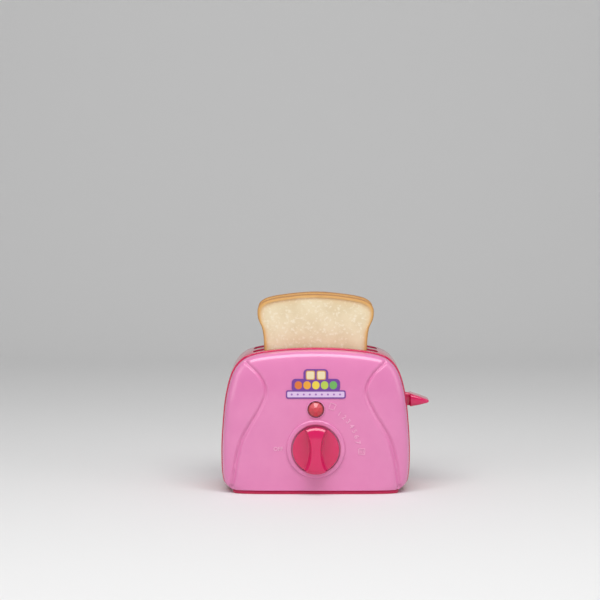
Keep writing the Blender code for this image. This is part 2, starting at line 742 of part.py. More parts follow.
def centre_frame():
    """Band between the shells, with bread slots, lever slot, rod sockets and screw lugs."""
    outer = arch(FRAME_PROUD)
    inner = arch(FRAME_PROUD - FRAME_WALL)
    below = BASE_TOP - OVERRUN
    hollow = [(inner[0][0], below)] + inner + [(inner[-1][0], below)]
    reach = FRAME_HALF_DEPTH + OVERRUN
    guide_x = SLOT_HALF_LENGTH + GUIDE_WALL
    guide_y = SLOT_CENTRE + 0.5 * SLOT_WIDTH + GUIDE_WALL
    guide = block((-guide_x, -guide_y, GUIDE_BOTTOM), (guide_x, guide_y, BODY_TOP + OVERRUN))
    cavity = cut(plate_y(hollow, -reach, reach), guide)
    body = cut(plate_y(outer, -FRAME_HALF_DEPTH, FRAME_HALF_DEPTH, FRAME_EDGE), cavity)

    lugs, holes = [], []
    for x, z in screw_places():
        wall = half_width(z, FRAME_PROUD - FRAME_WALL) + 0.5 * FRAME_WALL
        near = abs(x) - LUG_HALF_HEIGHT
        low_x, high_x = sorted((math.copysign(near, x), math.copysign(wall, x)))
        low_z, high_z = z - LUG_HALF_HEIGHT, z + LUG_HALF_HEIGHT
        for side in (-1, 1):
            depths = (FRAME_HALF_DEPTH - FRAME_EDGE, FRAME_HALF_DEPTH - LUG_THICKNESS)
            low_y, high_y = sorted(side * depth for depth in depths)
            lugs.append(block((low_x, low_y, low_z), (high_x, high_y, high_z)))
        holes.append(rod(SCREW_HOLE_RADIUS, -reach, reach, (x, 0, z), "Y", 8))
    for side in (-1, 1):
        centre, half = side * SLOT_CENTRE, 0.5 * SLOT_WIDTH
        slot = rounded_rectangle(
            -SLOT_HALF_LENGTH, centre - half, SLOT_HALF_LENGTH, centre + half, SLOT_CORNER
        )
        holes.append(plate_z(slot, GUIDE_BOTTOM - OVERRUN, BODY_TOP + FRAME_PROUD + OVERRUN))
        place = (side * ROD_X, 0, 0)
        socket = ROD_RADIUS + GAP
        holes.append(rod(socket, GUIDE_BOTTOM - OVERRUN, GUIDE_BOTTOM + ROD_SOCKET_DEPTH, place, "Z", 12))
    slot_low = LEVER_CENTRE_Z - LEVER_ROOT_HALF_HEIGHT - CARRIAGE_TRAVEL - LEVER_SLOT_MARGIN
    slot_high = LEVER_CENTRE_Z + LEVER_ROOT_HALF_HEIGHT + LEVER_SLOT_MARGIN
    slot_y = LEVER_TONGUE_HALF_WIDTH + LEVER_SLOT_MARGIN
    slot_start = half_width(slot_high, FRAME_PROUD - FRAME_WALL) - OVERRUN
    slot_end = BODY_HALF_WIDTH + FRAME_PROUD + OVERRUN
    holes.append(block((slot_start, -slot_y, slot_low), (slot_end, slot_y, slot_high)))
    body = cut(join(body, *lugs), *holes)
    finish("centre_frame", body, MAGENTA, 0.3)


def footprint(inset_by):
    """The body's outline at its foot, seen from above."""
    wide = OUTLINE_SHARES[0][0] * BODY_HALF_WIDTH - inset_by
    deep = SHELL_DEPTH - inset_by
    quarter = []
    for share in RING_SHARES:
        angle = share * math.pi / 2
        x = wide * max(0.0, math.cos(angle)) ** (2 / EDGE_POWER) if share < 1 else 0.0
        quarter.append((x, SEAM + deep * math.sin(angle) ** (2 / EDGE_POWER)))
    back = quarter + [(-x, y) for x, y in reversed(quarter[:-1])]
    return back + [(-x, -y) for x, y in back]


def battery_box_sizes():
    """Inside of the battery box: x, low y, high y and top z."""
    inside_x = 0.5 * (CELL_LENGTH + CELL_NUB_LENGTH) + CONTACT_ROOM
    top = DOOR_THICKNESS + BOX_INSIDE
    return inside_x, CELL_ROW_CENTRE - BOX_INSIDE, CELL_ROW_CENTRE + BOX_INSIDE, top


def door_outline(grow):
    inside_x, low_y, high_y, top = battery_box_sizes()
    reach = DOOR_LEDGE + grow
    return rounded_rectangle(
        -inside_x - reach, low_y - reach, inside_x + DOOR_TONGUE + grow, high_y + reach, DOOR_CORNER
    )


def door_screw_place():
    inside_x = battery_box_sizes()[0]
    return (inside_x + DOOR_TONGUE - DOOR_BOSS_RADIUS, CELL_ROW_CENTRE, 0)


def base_plate():
    """Flat base with battery box, guide rod bosses and screw holes."""
    inside_x, low_y, high_y, top = battery_box_sizes()
    body = plate_z(footprint(BASE_INSET), 0, BASE_THICKNESS, BASE_EDGE)
    low = 0.5 * BASE_THICKNESS
    wall = BOX_WALL
    box = block((-inside_x - wall, low_y - wall, low), (inside_x + wall, high_y + wall, top + wall))
    adds = [box, rod(DOOR_BOSS_RADIUS, low, DOOR_BOSS_HEIGHT, door_screw_place(), "Z", 12)]
    holes = [block((-inside_x, low_y, -OVERRUN), (inside_x, high_y, top))]
    holes.append(plate_z(door_outline(GAP), -OVERRUN, DOOR_THICKNESS + GAP))
    holes.append(rod(SCREW_HOLE_RADIUS, -OVERRUN, DOOR_BOSS_HEIGHT - BOX_WALL, door_screw_place(), "Z", 10))
    for hand in (-1, 1):
        place = (hand * ROD_X, 0, 0)
        socket = ROD_RADIUS + GAP
        cup = [
            (0, low), (ROD_BOSS_RADIUS, low), (ROD_BOSS_RADIUS, ROD_BOSS_TOP), (socket, ROD_BOSS_TOP),
            (socket, ROD_FOOT), (0, ROD_FOOT),
        ]
        adds.append(turned(cup, place, "Z", 12))
        for side in (-1, 1):
            place = (hand * BASE_SCREW_X, side * BASE_SCREW_Y, 0)
            holes.append(rod(SCREW_HEAD_RADIUS + GAP, -OVERRUN, BASE_HEAD_RECESS, place, "Z", 12))
            holes.append(rod(SCREW_HOLE_RADIUS, -OVERRUN, BASE_THICKNESS + OVERRUN, place, "Z", 8))
    finish("base_plate", cut(join(body, *adds), *holes), MAGENTA, 0.35)


def battery_door():
    """Screwed-down door over the cells, flush with the base."""
    body = plate_z(door_outline(0), 0, DOOR_THICKNESS, DOOR_EDGE)
    place = door_screw_place()
    body = cut(
        body,
        rod(SCREW_HEAD_RADIUS + GAP, -OVERRUN, DOOR_HEAD_RECESS, place, "Z", 12),
        rod(SCREW_HOLE_RADIUS, -OVERRUN, DOOR_THICKNESS + OVERRUN, place, "Z", 8),
    )
    finish("battery_door", body, MAGENTA, 0.35)


def screw(name, place, axis, seat, direction, length, head_height,
          radius=SCREW_RADIUS, head=SCREW_HEAD_RADIUS):
    """A pan-head screw: its head rests on seat and its shank runs the other way."""
    profile = [
        (0, seat - direction * length), (radius, seat - direction * (length - radius)), (radius, seat),
        (head, seat), (head, seat + direction * 0.6 * head_height),
        (0.7 * head, seat + direction * head_height), (0, seat + direction * head_height),
    ]
    finish(name, turned(profile, place, axis, 10), STEEL, 0.3, 1.0)


def screws():
    """All the screws that close the housing."""
    for number, (x, z) in enumerate(screw_places(), start=1):
        seat = SEAM + HEAD_SEAT + GAP
        length = seat + SEAM + THREAD_DEPTH
        screw(f"shell_screw_{number}", (x, 0, z), "Y", seat, 1, length, SCREW_HEAD_HEIGHT)
    number = 0
    for hand in (-1, 1):
        for side in (-1, 1):
            number += 1
            place = (hand * BASE_SCREW_X, side * BASE_SCREW_Y, 0)
            seat = BASE_HEAD_RECESS - GAP
            screw(f"base_screw_{number}", place, "Z", seat, -1, BASE_SCREW_LENGTH, BASE_HEAD_HEIGHT)
    seat = DOOR_HEAD_RECESS - GAP
    screw("door_screw", door_screw_place(), "Z", seat, -1, DOOR_SCREW_LENGTH, DOOR_HEAD_HEIGHT)


def cells_and_contacts():
    """Two cells side by side, with their contact plates and springs."""
    inside_x, low_y, high_y, top = battery_box_sizes()
    cell_z = DOOR_THICKNESS + CELL_CLEARANCE + CELL_RADIUS
    offset = CELL_RADIUS + 0.5 * CELL_CLEARANCE
    spring_length = inside_x - 0.5 * (CELL_LENGTH - CELL_NUB_LENGTH) - CONTACT_THICKNESS - GAP - GAP - GAP
    for name, side, hand in (("battery_front", -1, 1), ("battery_rear", 1, -1)):
        start = -0.5 * (CELL_LENGTH - CELL_NUB_LENGTH)
        end = start + CELL_LENGTH
        soft = 0.1 * CELL_RADIUS
        profile = [
            (0, start), (CELL_RADIUS - soft, start), (CELL_RADIUS, start + soft), (CELL_RADIUS, end - soft),
            (CELL_RADIUS - soft, end), (CELL_NUB_RADIUS, end), (CELL_NUB_RADIUS, end + CELL_NUB_LENGTH),
            (0, end + CELL_NUB_LENGTH),
        ]
        place = (0, CELL_ROW_CENTRE + side * offset, cell_z)
        mesh = turned([(radius, hand * x) for radius, x in profile], place, "X", 16)
        finish(name, mesh, STEEL, 0.35, 0.6)
        spring_start = inside_x - GAP - CONTACT_THICKNESS - GAP
        coil_mesh = coil(
            0.55 * CELL_RADIUS, BATTERY_SPRING_WIRE, spring_length, BATTERY_SPRING_TURNS,
            (-hand * spring_start, place[1], cell_z), "X", way=hand,
        )
        finish(name.replace("battery", "battery_spring"), coil_mesh, STEEL, 0.3, 1.0)
    thin = CONTACT_THICKNESS
    margin = CELL_CLEARANCE
    low_z = DOOR_THICKNESS + GAP + margin
    far = inside_x - GAP
    bridge = block((far - thin, low_y + margin, low_z), (far, high_y - margin, top - margin))
    finish("contact_bridge", bridge, STEEL, 0.3, 1.0)
    middle = CELL_ROW_CENTRE
    halves = (("minus", low_y + margin, middle - margin), ("plus", middle + margin, high_y - margin))
    for name, y_low, y_high in halves:
        plate = block((-far, y_low, low_z), (-far + thin, y_high, top - margin))
        finish(f"contact_{name}", plate, STEEL, 0.3, 1.0)


def guides_and_lift_springs():
    """Steel rods for the carriage and the springs that push it up."""
    for name, hand in (("left", -1), ("right", 1)):
        place = (hand * ROD_X, 0, 0)
        top = GUIDE_BOTTOM + ROD_SOCKET_DEPTH - GAP
        finish(f"guide_rod_{name}", rod(ROD_RADIUS, ROD_FOOT + GAP, top, place, "Z", 12), STEEL, 0.2, 1.0)
        start = ROD_BOSS_TOP + GAP
        length = BUSH_LOW - GAP - start
        spring = coil(
            LIFT_SPRING_RADIUS, LIFT_SPRING_WIRE, length, LIFT_SPRING_TURNS, (hand * ROD_X, 0, start), "Z"
        )
        finish(f"lift_spring_{name}", spring, STEEL, 0.3, 1.0)


def carriage(slider):
    """Bread carriage: two rests, end bars with bushes, the lever arm and the latch catch."""
    top, low = CARRIAGE_TOP, CARRIAGE_TOP - CARRIAGE_THICKNESS
    half = 0.5 * (BREAD_THICKNESS - REST_MARGIN)
    rest_x = BREAD_HALF_WIDTH - REST_END_MARGIN
    rest_y = SLOT_CENTRE + half
    inner_y = SLOT_CENTRE - half
    parts = []
    for side in (-1, 1):
        ys = sorted((side * inner_y, side * rest_y))
        parts.append(block((-rest_x, ys[0], low), (rest_x, ys[1], top)))
    for hand in (-1, 1):
        xs = sorted((hand * (ROD_X - END_BAR_IN), hand * (ROD_X + END_BAR_OUT)))
        parts.append(block((xs[0], -rest_y - GAP, low - GAP), (xs[1], rest_y + GAP, top - GAP)))
        parts.append(rod(BUSH_RADIUS, BUSH_LOW, BUSH_HIGH, (hand * ROD_X, 0, 0), "Z", 16))
    arm_start = ROD_X + ROD_RADIUS + GAP + GAP
    arm_low = BUSH_HIGH - ARM_HEIGHT
    parts.append(block((arm_start, -ARM_HALF_WIDTH, arm_low), (ARM_END, ARM_HALF_WIDTH, BUSH_HIGH)))
    place = (0, 0, ARM_CENTRE_Z)
    parts.append(rod(ARM_PEG_RADIUS, ARM_END - OVERRUN, ARM_END + ARM_PEG_LENGTH, place, "X", 10))
    catch_end = CATCH_LOW_X + CATCH_LENGTH
    parts.append(block((CATCH_LOW_X, LATCH_FRONT, low + GAP), (catch_end, -inner_y - OVERRUN, top - GAP)))
    body = join(parts[0], *parts[1:])
    bores = [
        rod(ROD_RADIUS + GAP, BUSH_LOW - OVERRUN, BUSH_HIGH + OVERRUN, (hand * ROD_X, 0, 0), "Z", 12)
        for hand in (-1, 1)
    ]
    finish("carriage", cut(body, *bores), WHITE_PLASTIC, 0.45, parent=slider)


def lever_knob(slider):
    """Wedge that the child presses down, a tongue in the slot and a pad outside."""
    middle_x = 0.5 * (LEVER_NECK_X + LEVER_TIP_X)
    middle_height = 0.5 * (LEVER_NECK_HALF_HEIGHT + LEVER_TIP_HALF_HEIGHT)
    stations = (
        (LEVER_ROOT_X, LEVER_TONGUE_HALF_WIDTH, LEVER_ROOT_HALF_HEIGHT, 0.0),
        (LEVER_NECK_X - LEVER_SHOULDER, LEVER_TONGUE_HALF_WIDTH, LEVER_NECK_HALF_HEIGHT, 0.3),
        (LEVER_NECK_X, LEVER_PAD_HALF_WIDTH, LEVER_NECK_HALF_HEIGHT, 0.4),
        (middle_x, LEVER_PAD_HALF_WIDTH, middle_height, 0.7),
        (LEVER_TIP_X - LEVER_TIP_EDGE, LEVER_TIP_HALF_WIDTH + LEVER_TIP_EDGE, LEVER_TIP_HALF_HEIGHT, 1.0),
        (LEVER_TIP_X, LEVER_TIP_HALF_WIDTH, 0.5 * LEVER_TIP_HALF_HEIGHT, 1.0),
    )
    rings = []
    for x, wide, high, drop_share in stations:
        centre = LEVER_CENTRE_Z - drop_share * LEVER_TIP_DROP
        soft = 0.35 * min(wide, high)
        outline = rounded_rectangle(-wide, -high, wide, high, soft, 2)
        rings.append([(x, y, centre + z) for y, z in outline])
    bore_end = ARM_END + ARM_PEG_LENGTH + GAP
    bore = rod(ARM_PEG_RADIUS + GAP, LEVER_ROOT_X - OVERRUN, bore_end, (0, 0, ARM_CENTRE_Z), "X", 10)
    finish("lever_knob", cut(stack(rings), bore), MAGENTA, 0.25, parent=slider)


def bread():
    """Two moulded slices that stand on the carriage."""
    bottom = CARRIAGE_TOP + GAP
    outline = mirrored(BREAD_SHARES, BREAD_HALF_WIDTH, bottom, BREAD_HEIGHT)
    half = 0.5 * BREAD_THICKNESS
    for name, side in (("front", -1), ("rear", 1)):
        centre = side * SLOT_CENTRE
        slice_carrier = carrier(f"bread_{name}_carrier", 0, centre, bottom)
        slab = plate_y(outline, centre - half, centre + half, BREAD_EDGE)
        finish(f"bread_slice_{name}", slab, TOAST, 0.7, parent=slice_carrier)


def grip_scoop(hand):
    """The cutter beside the knob's grip, closer to it at the front than at the disc."""
    steps = 10
    front = KNOB_FRONT - KNOB_DOME - OVERRUN
    floor = KNOB_BACK - KNOB_DISC
    reach = KNOB_RADIUS + OVERRUN
    rings = []
    for k in range(steps + 1):
        z = (2 * k / steps - 1) * reach
        grip = GRIP_HALF_WIDTH + (GRIP_END_HALF_WIDTH - GRIP_HALF_WIDTH) * (z / KNOB_RADIUS) ** 2
        section = ((grip, front), (reach, front), (reach, floor), (grip + GRIP_FLANK, floor))
        rings.append([(hand * x, y, KNOB_Z + z) for x, y in section])
    return stack(rings)


def timer_knob(turner):
    """Round knob with a full-width grip bar and a blind bore for its shaft."""
    front, back = KNOB_FRONT, KNOB_BACK
    profile = [
        (0, back), (KNOB_RADIUS - GAP, back), (KNOB_RADIUS, back - GAP), (KNOB_RADIUS, front + KNOB_DOME),
        (0.9 * KNOB_RADIUS, front + 0.35 * KNOB_DOME), (0.7 * KNOB_RADIUS, front), (0, front - GAP),
    ]
    body = turned(profile, (0, 0, KNOB_Z), "Y", 36)
    bore = rod(SHAFT_BORE, back - SHAFT_IN_KNOB, back + OVERRUN, (0, 0, KNOB_Z), "Y", 12)
    body = cut(body, bore, grip_scoop(-1), grip_scoop(1))
    finish("timer_knob", body, MAGENTA, 0.25, parent=turner)


def timer_shaft(turner):
    """Steel shaft from the knob through the movement to the cam."""
    start = KNOB_BACK - SHAFT_IN_KNOB + GAP
    end = LATCH_BACK + GAP
    shaft = rod(SHAFT_RADIUS, start, end, (0, 0, KNOB_Z), "Y", 16)
    finish("timer_shaft", shaft, STEEL, 0.2, 1.0, turner)


def pillars():
    """The places of the movement's four pillars, in x and z."""
    return [(x * PLATE_REACH, KNOB_Z + z * PLATE_REACH) for x, z in PILLAR_SHARES]


def plate_outline():
    """The movement plates' outline with round corners, in x and z."""
    corners = [(x * PLATE_REACH, KNOB_Z + z * PLATE_REACH) for x, z in PLATE_CORNER_SHARES]
    points = []
    count = len(corners)
    for k in range(count):
        here = Vector(corners[k])
        back = (Vector(corners[k - 1]) - here).normalized()
        ahead = (Vector(corners[(k + 1) % count]) - here).normalized()
        start, end = here + back * PLATE_CORNER_RADIUS, here + ahead * PLATE_CORNER_RADIUS
        for step in range(PLATE_CORNER_STEPS + 1):
            share = step / PLATE_CORNER_STEPS
            point = start * (1 - share) ** 2 + here * 2 * share * (1 - share) + end * share ** 2
            points.append((point.x, point.y))
    return points


def front_plate():
    """The movement's front plate, which rests on the front shell's bosses."""
    low, high = TIMER_FRONT, TIMER_FRONT + PLATE_THICKNESS
    holes = [rod(SHAFT_BORE, low - OVERRUN, high + OVERRUN, (0, 0, KNOB_Z), "Y", 16)]
    for x, z in pillars():
        holes.append(rod(PLATE_HOLE_RADIUS, low - OVERRUN, high + OVERRUN, (x, 0, z), "Y", 8))
    finish("timer_front_plate", cut(plate_y(plate_outline(), low, high), *holes), BRASS, 0.35, 0.8)


def back_plate():
    """The movement's back plate with its four pillars and the latch spring's post."""
    low, high = TIMER_BACK - PLATE_THICKNESS, TIMER_BACK
    start = TIMER_FRONT + PLATE_THICKNESS + GAP
    middle = 0.5 * (low + high)
    pivot_x, pivot_z = latch_pivot()
    post_x, post_z = spring_post()
    adds = [rod(SPRING_POST_RADIUS, middle, LATCH_BACK, (post_x, 0, post_z), "Y", 10)]
    holes = [rod(SHAFT_BORE, low - OVERRUN, high + OVERRUN, (0, 0, KNOB_Z), "Y", 16)]
    holes.append(rod(LATCH_PIN_RADIUS + GAP, low - OVERRUN, high + OVERRUN, (pivot_x, 0, pivot_z), "Y", 10))
    for x, z in pillars():
        adds.append(rod(PILLAR_RADIUS, start, middle, (x, 0, z), "Y", 12))
        holes.append(rod(PLATE_HOLE_RADIUS, start - OVERRUN, high + OVERRUN, (x, 0, z), "Y", 8))
    body = join(plate_y(plate_outline(), low, high), *adds)
    finish("timer_back_plate", cut(body, *holes), BRASS, 0.35, 0.8)


def timer_screws():
    """Screws through both plates into the front shell's bosses."""
    seat = TIMER_BACK + GAP
    length = seat - (TIMER_FRONT - GAP - TIMER_THREAD) - GAP
    for number, (x, z) in enumerate(pillars(), start=1):
        screw(
            f"timer_screw_{number}", (x, 0, z), "Y", seat, 1, length,
            TIMER_SCREW_HEAD_HEIGHT, TIMER_SCREW_RADIUS, TIMER_SCREW_HEAD_RADIUS,
        )


def gear_outline(teeth, centre, phase):
    """A spur gear's outline; phase is the angle of one tooth's middle."""
    pitch_radius = 0.5 * TOOTH_MODULE * teeth
    root = pitch_radius - TOOTH_DEDENDUM_SHARE * TOOTH_MODULE
    tip = pitch_radius + TOOTH_ADDENDUM_SHARE * TOOTH_MODULE
    step = 2 * math.pi / teeth
    points = []
    for tooth in range(teeth):
        middle = phase + tooth * step
        wide, narrow = TOOTH_ROOT_SHARE, TOOTH_TIP_SHARE
        for radius, share in ((root, -wide), (tip, -narrow), (tip, narrow), (root, wide)):
            angle = middle + share * step
            points.append((centre[0] + radius * math.cos(angle), centre[1] + radius * math.sin(angle)))
    return points


def mesh_phase(phase, teeth, direction, mate_teeth):
    """The phase of a gear that meshes with one of the given phase, in a direction from it."""
    offset = (direction - phase) / (2 * math.pi / teeth)
    travelled = (offset - math.floor(offset)) * (2 * math.pi / mate_teeth)
    return direction + math.pi + travelled + math.pi / mate_teeth


def arbor_places():
    """Centres of the second wheel, the escape wheel and the pallet, in x and z."""
    first = 0.5 * TOOTH_MODULE * (MAIN_TEETH + SECOND_PINION_TEETH)
    second = 0.5 * TOOTH_MODULE * (SECOND_TEETH + ESCAPE_PINION_TEETH)
    wheel = (first * math.cos(SECOND_ANGLE), KNOB_Z + first * math.sin(SECOND_ANGLE))
    escape = (wheel[0] + second * math.cos(ESCAPE_ANGLE), wheel[1] + second * math.sin(ESCAPE_ANGLE))
    return wheel, escape, (escape[0], escape[1] + PALLET_RISE)


def main_gear(turner):
    """Main gear on the knob's shaft."""
    mesh = plate_y(gear_outline(MAIN_TEETH, (0, KNOB_Z), 0), MAIN_Y, MAIN_Y + GEAR_WIDTH)
    bore = rod(SHAFT_BORE, MAIN_Y - OVERRUN, MAIN_Y + GEAR_WIDTH + OVERRUN, (0, 0, KNOB_Z), "Y", 16)
    finish("main_gear", cut(mesh, bore), WHITE_PLASTIC, 0.45, parent=turner)


def compound_wheel(name, place, phase, pinion_teeth, pinion_start, disc_outline, disc_start, width):
    """A disc and its pinion on one arbor, the pinion in front of the disc."""
    pinion_outline = gear_outline(pinion_teeth, place, phase)
    pinion = plate_y(pinion_outline, pinion_start, disc_start + 0.5 * width)
    disc = plate_y(disc_outline, disc_start, disc_start + width)
    low, high = pinion_start - OVERRUN, disc_start + width + OVERRUN
    bore = rod(ARBOR_BORE, low, high, (place[0], 0, place[1]), "Y", 10)
    spindle = carrier(name + "_carrier", place[0], disc_start, place[1])
    finish(name, cut(join(disc, pinion), bore), WHITE_PLASTIC, 0.45, parent=spindle)


def gear_train():
    """Second wheel and escape wheel in mesh with the main gear, the pallet and the arbors."""
    wheel, escape, pallet = arbor_places()
    phase = mesh_phase(0, MAIN_TEETH, SECOND_ANGLE, SECOND_PINION_TEETH)
    disc = gear_outline(SECOND_TEETH, wheel, phase)
    compound_wheel("second_wheel", wheel, phase, SECOND_PINION_TEETH, MAIN_Y, disc, SECOND_Y, GEAR_WIDTH)

    phase = mesh_phase(phase, SECOND_TEETH, ESCAPE_ANGLE, ESCAPE_PINION_TEETH)
    step = 2 * math.pi / ESCAPE_TEETH
    star = []
    for k in range(ESCAPE_TEETH):
        for radius, share in ((ESCAPE_ROOT_RADIUS, 0.0), (ESCAPE_RADIUS, 0.62), (ESCAPE_RADIUS, 0.72)):
            angle = (k + share) * step
            star.append((escape[0] + radius * math.cos(angle), escape[1] + radius * math.sin(angle)))
    compound_wheel(
        "escape_wheel", escape, phase, ESCAPE_PINION_TEETH, SECOND_Y - GAP, star, ESCAPE_Y, ESCAPE_WIDTH
    )
    pallet_lever(pallet)
    for name, (x, z) in (("second_arbor", wheel), ("escape_arbor", escape), ("pallet_arbor", pallet)):
        start = TIMER_FRONT + PLATE_THICKNESS + GAP
        end = TIMER_BACK - PLATE_THICKNESS - GAP
        finish(name, rod(ARBOR_RADIUS, start, end, (x, 0, z), "Y", 10), STEEL, 0.2, 1.0)


def pallet_lever(place):
    """Rocking lever whose two arms straddle the escape wheel."""
    x, z = PALLET_REACH_X, PALLET_REACH_Z
    outer = x + PALLET_ARM_WIDTH
    hub = PALLET_HUB_RADIUS
    outline = [
        (x, -z), (outer, PALLET_ARM_WIDTH - z), (outer, 0), (0.5 * hub, hub), (-0.5 * hub, hub),
        (-outer, 0), (-outer, PALLET_ARM_WIDTH - z), (-x, -z), (GAP - x, -hub), (x - GAP, -hub),
    ]
    end = ESCAPE_Y + ESCAPE_WIDTH
    mesh = plate_y([(place[0] + a, place[1] + b) for a, b in outline], ESCAPE_Y, end)
    bore = rod(ARBOR_BORE, ESCAPE_Y - OVERRUN, end + OVERRUN, (place[0], 0, place[1]), "Y", 10)
    rocker = carrier("pallet_carrier", place[0], ESCAPE_Y, place[1])
    finish("pallet_lever", cut(mesh, bore), BRASS, 0.35, 0.8, rocker)


def mainspring():
    """Flat spiral spring round the shaft."""
    steps = SPRING_TURN_STEPS * SPRING_TURNS
    inner = SHAFT_RADIUS + SPRING_PLAY
    start = TIMER_BACK - PLATE_THICKNESS - GAP - GAP - SPRING_WIDTH
    rings = []
    for k in range(steps + 1):
        share = k / steps
        angle = 2 * math.pi * SPRING_TURNS * share
        radius = inner + (SPRING_OUTER - inner) * share
        ring = []
        for thick, along in ((0, 0), (SPRING_STRIP, 0), (SPRING_STRIP, SPRING_WIDTH), (0, SPRING_WIDTH)):
            far = radius + thick
            ring.append((far * math.cos(angle), start + along, KNOB_Z + far * math.sin(angle)))
        rings.append(ring)
    finish("mainspring", stack(rings), STEEL, 0.25, 1.0)


def latch_pivot():
    """The latch's pivot in x and z."""
    return LATCH_PIVOT_X, KNOB_Z + LATCH_PIVOT_RISE


def swing(point, angle):
    """A point of the latch, in x and z, turned clockwise about the latch's pivot."""
    pivot_x, pivot_z = latch_pivot()
    x, z = point[0] - pivot_x, point[1] - pivot_z
    c, s = math.cos(angle), math.sin(angle)
    return pivot_x + x * c + z * s, pivot_z - x * s + z * c


def spring_post():
    """Where the latch spring's far end is hooked, in x and z."""
    pivot_x, pivot_z = latch_pivot()
    tail_x, tail_z = swing((pivot_x, pivot_z + LATCH_TAIL_LENGTH), LATCH_SWING)
    reach = 0.5 * LATCH_TAIL_WIDTH + GAP + LATCH_SPRING_LENGTH + GAP + SPRING_POST_RADIUS
    return tail_x + reach, tail_z


def link(start, end, width):
    """A bar's outline with a round nose at its end, in x and z."""
    steps = 8
    a, b = Vector(start), Vector(end)
    along = (b - a).normalized()
    side = Vector((-along.y, along.x))
    half = 0.5 * width
    points = [a + side * half, a - side * half]
    for k in range(steps + 1):
        angle = -math.pi / 2 + math.pi * k / steps
        points.append(b + along * (half * math.cos(angle)) + side * (half * math.sin(angle)))
    return [(p.x, p.y) for p in points]


def latch_outlines():
    """The latch's eye, follower arm, hook arm, tail and hook, drawn with the timer wound up."""
    pivot_x, pivot_z = latch_pivot()
    low = CARRIAGE_TOP - GAP - CARRIAGE_TRAVEL + HOOK_PLAY
    high = low + HOOK_HEIGHT
    inner, outer = CATCH_LOW_X - HOOK_BACK, CATCH_LOW_X + HOOK_BITE
    middle = 0.5 * (inner + outer)
    slope = low + 0.8 * HOOK_HEIGHT
    hook = [(inner, high), (middle, slope), (outer, low + HOOK_LIP), (outer, low), (inner, low)]
    steps, radius = 14, LATCH_EYE_RADIUS
    eye = []
    for k in range(steps):
        angle = 2 * math.pi * k / steps
        eye.append((pivot_x + radius * math.cos(angle), pivot_z + radius * math.sin(angle)))
    pivot = (pivot_x, pivot_z)
    tip = (LATCH_TIP_X, KNOB_Z - LATCH_TIP_DROP)
    return (
        eye,
        link(pivot, tip, LATCH_TIP_RADIUS + LATCH_TIP_RADIUS),
        link(pivot, (inner + 0.5 * LATCH_BAR_WIDTH, high), LATCH_BAR_WIDTH),
        link(pivot, (pivot_x, pivot_z + LATCH_TAIL_LENGTH), LATCH_TAIL_WIDTH),
        hook,
    )


def latch():
    """Swinging latch, placed as it lies with the timer run down."""
    low, high = LATCH_FRONT, LATCH_BACK
    x, z = latch_pivot()
    shapes = [
        plate_y([swing(point, LATCH_SWING) for point in outline], low, high) for outline in latch_outlines()
    ]
    bore = rod(LATCH_PIN_RADIUS + GAP, low - OVERRUN, high + OVERRUN, (x, 0, z), "Y", 10)
    swinger = carrier("latch_carrier", x, low, z)
    finish("latch", cut(join(*shapes), bore), WHITE_PLASTIC, 0.45, parent=swinger)


def latch_pin():
    """Headed pin from the back plate through the latch's eye."""
    start, head = TIMER_BACK - PLATE_THICKNESS, LATCH_BACK + GAP
    x, z = latch_pivot()
    profile = [
        (0, start), (LATCH_PIN_RADIUS, start), (LATCH_PIN_RADIUS, head), (LATCH_PIN_HEAD_RADIUS, head),
        (LATCH_PIN_HEAD_RADIUS, head + LATCH_PIN_HEAD), (0, head + LATCH_PIN_HEAD),
    ]
    finish("latch_pin", turned(profile, (x, 0, z), "Y", 12), STEEL, 0.25, 1.0)


def latch_spring():
    """Small pull spring between the latch's tail and its post on the back plate."""
    x, z = spring_post()
    start = x - SPRING_POST_RADIUS - GAP - LATCH_SPRING_LENGTH
    centre = (start, 0.5 * (LATCH_FRONT + LATCH_BACK), z)
    spring = coil(
        LATCH_SPRING_RADIUS, LATCH_SPRING_WIRE, LATCH_SPRING_LENGTH, LATCH_SPRING_TURNS, centre, "X"
    )
    finish("latch_spring", spring, STEEL, 0.3, 1.0)


def timer_cam(turner):
    """Cam whose edge leads the latch's tip: each degree of winding swings the latch alike."""
    tip_wound = (LATCH_TIP_X, KNOB_Z - LATCH_TIP_DROP)
    half = CAM_STEPS // 2
    angles, reaches = [], []
    for k in range(half + 1):
        share = k / half
        x, z = swing(tip_wound, LATCH_SWING * (1 - share))
        angles.append(math.atan2(z - KNOB_Z, x) + KNOB_WIND * share)
        reaches.append(math.hypot(x, z - KNOB_Z) - LATCH_TIP_RADIUS - CAM_CLEARANCE)
    start, end = angles[0] - CAM_DWELL, angles[-1] + CAM_DWELL
    outline = []
    for k in range(CAM_STEPS):
        angle = start + 2 * math.pi * k / CAM_STEPS
        if angle <= end:
            radius = float(np.interp(angle, angles, reaches))
        else:
            rest_share = (angle - end) / (2 * math.pi - end + start)
            radius = reaches[-1] + (reaches[0] - reaches[-1]) * min(1.0, 1.5 * rest_share)
        outline.append((radius * math.cos(angle), KNOB_Z + radius * math.sin(angle)))
    mesh = plate_y(outline, LATCH_FRONT, LATCH_BACK)
    bore = rod(SHAFT_BORE, LATCH_FRONT - OVERRUN, LATCH_BACK + OVERRUN, (0, 0, KNOB_Z), "Y", 16)
    finish("timer_cam", cut(mesh, bore), WHITE_PLASTIC, 0.45, parent=turner)


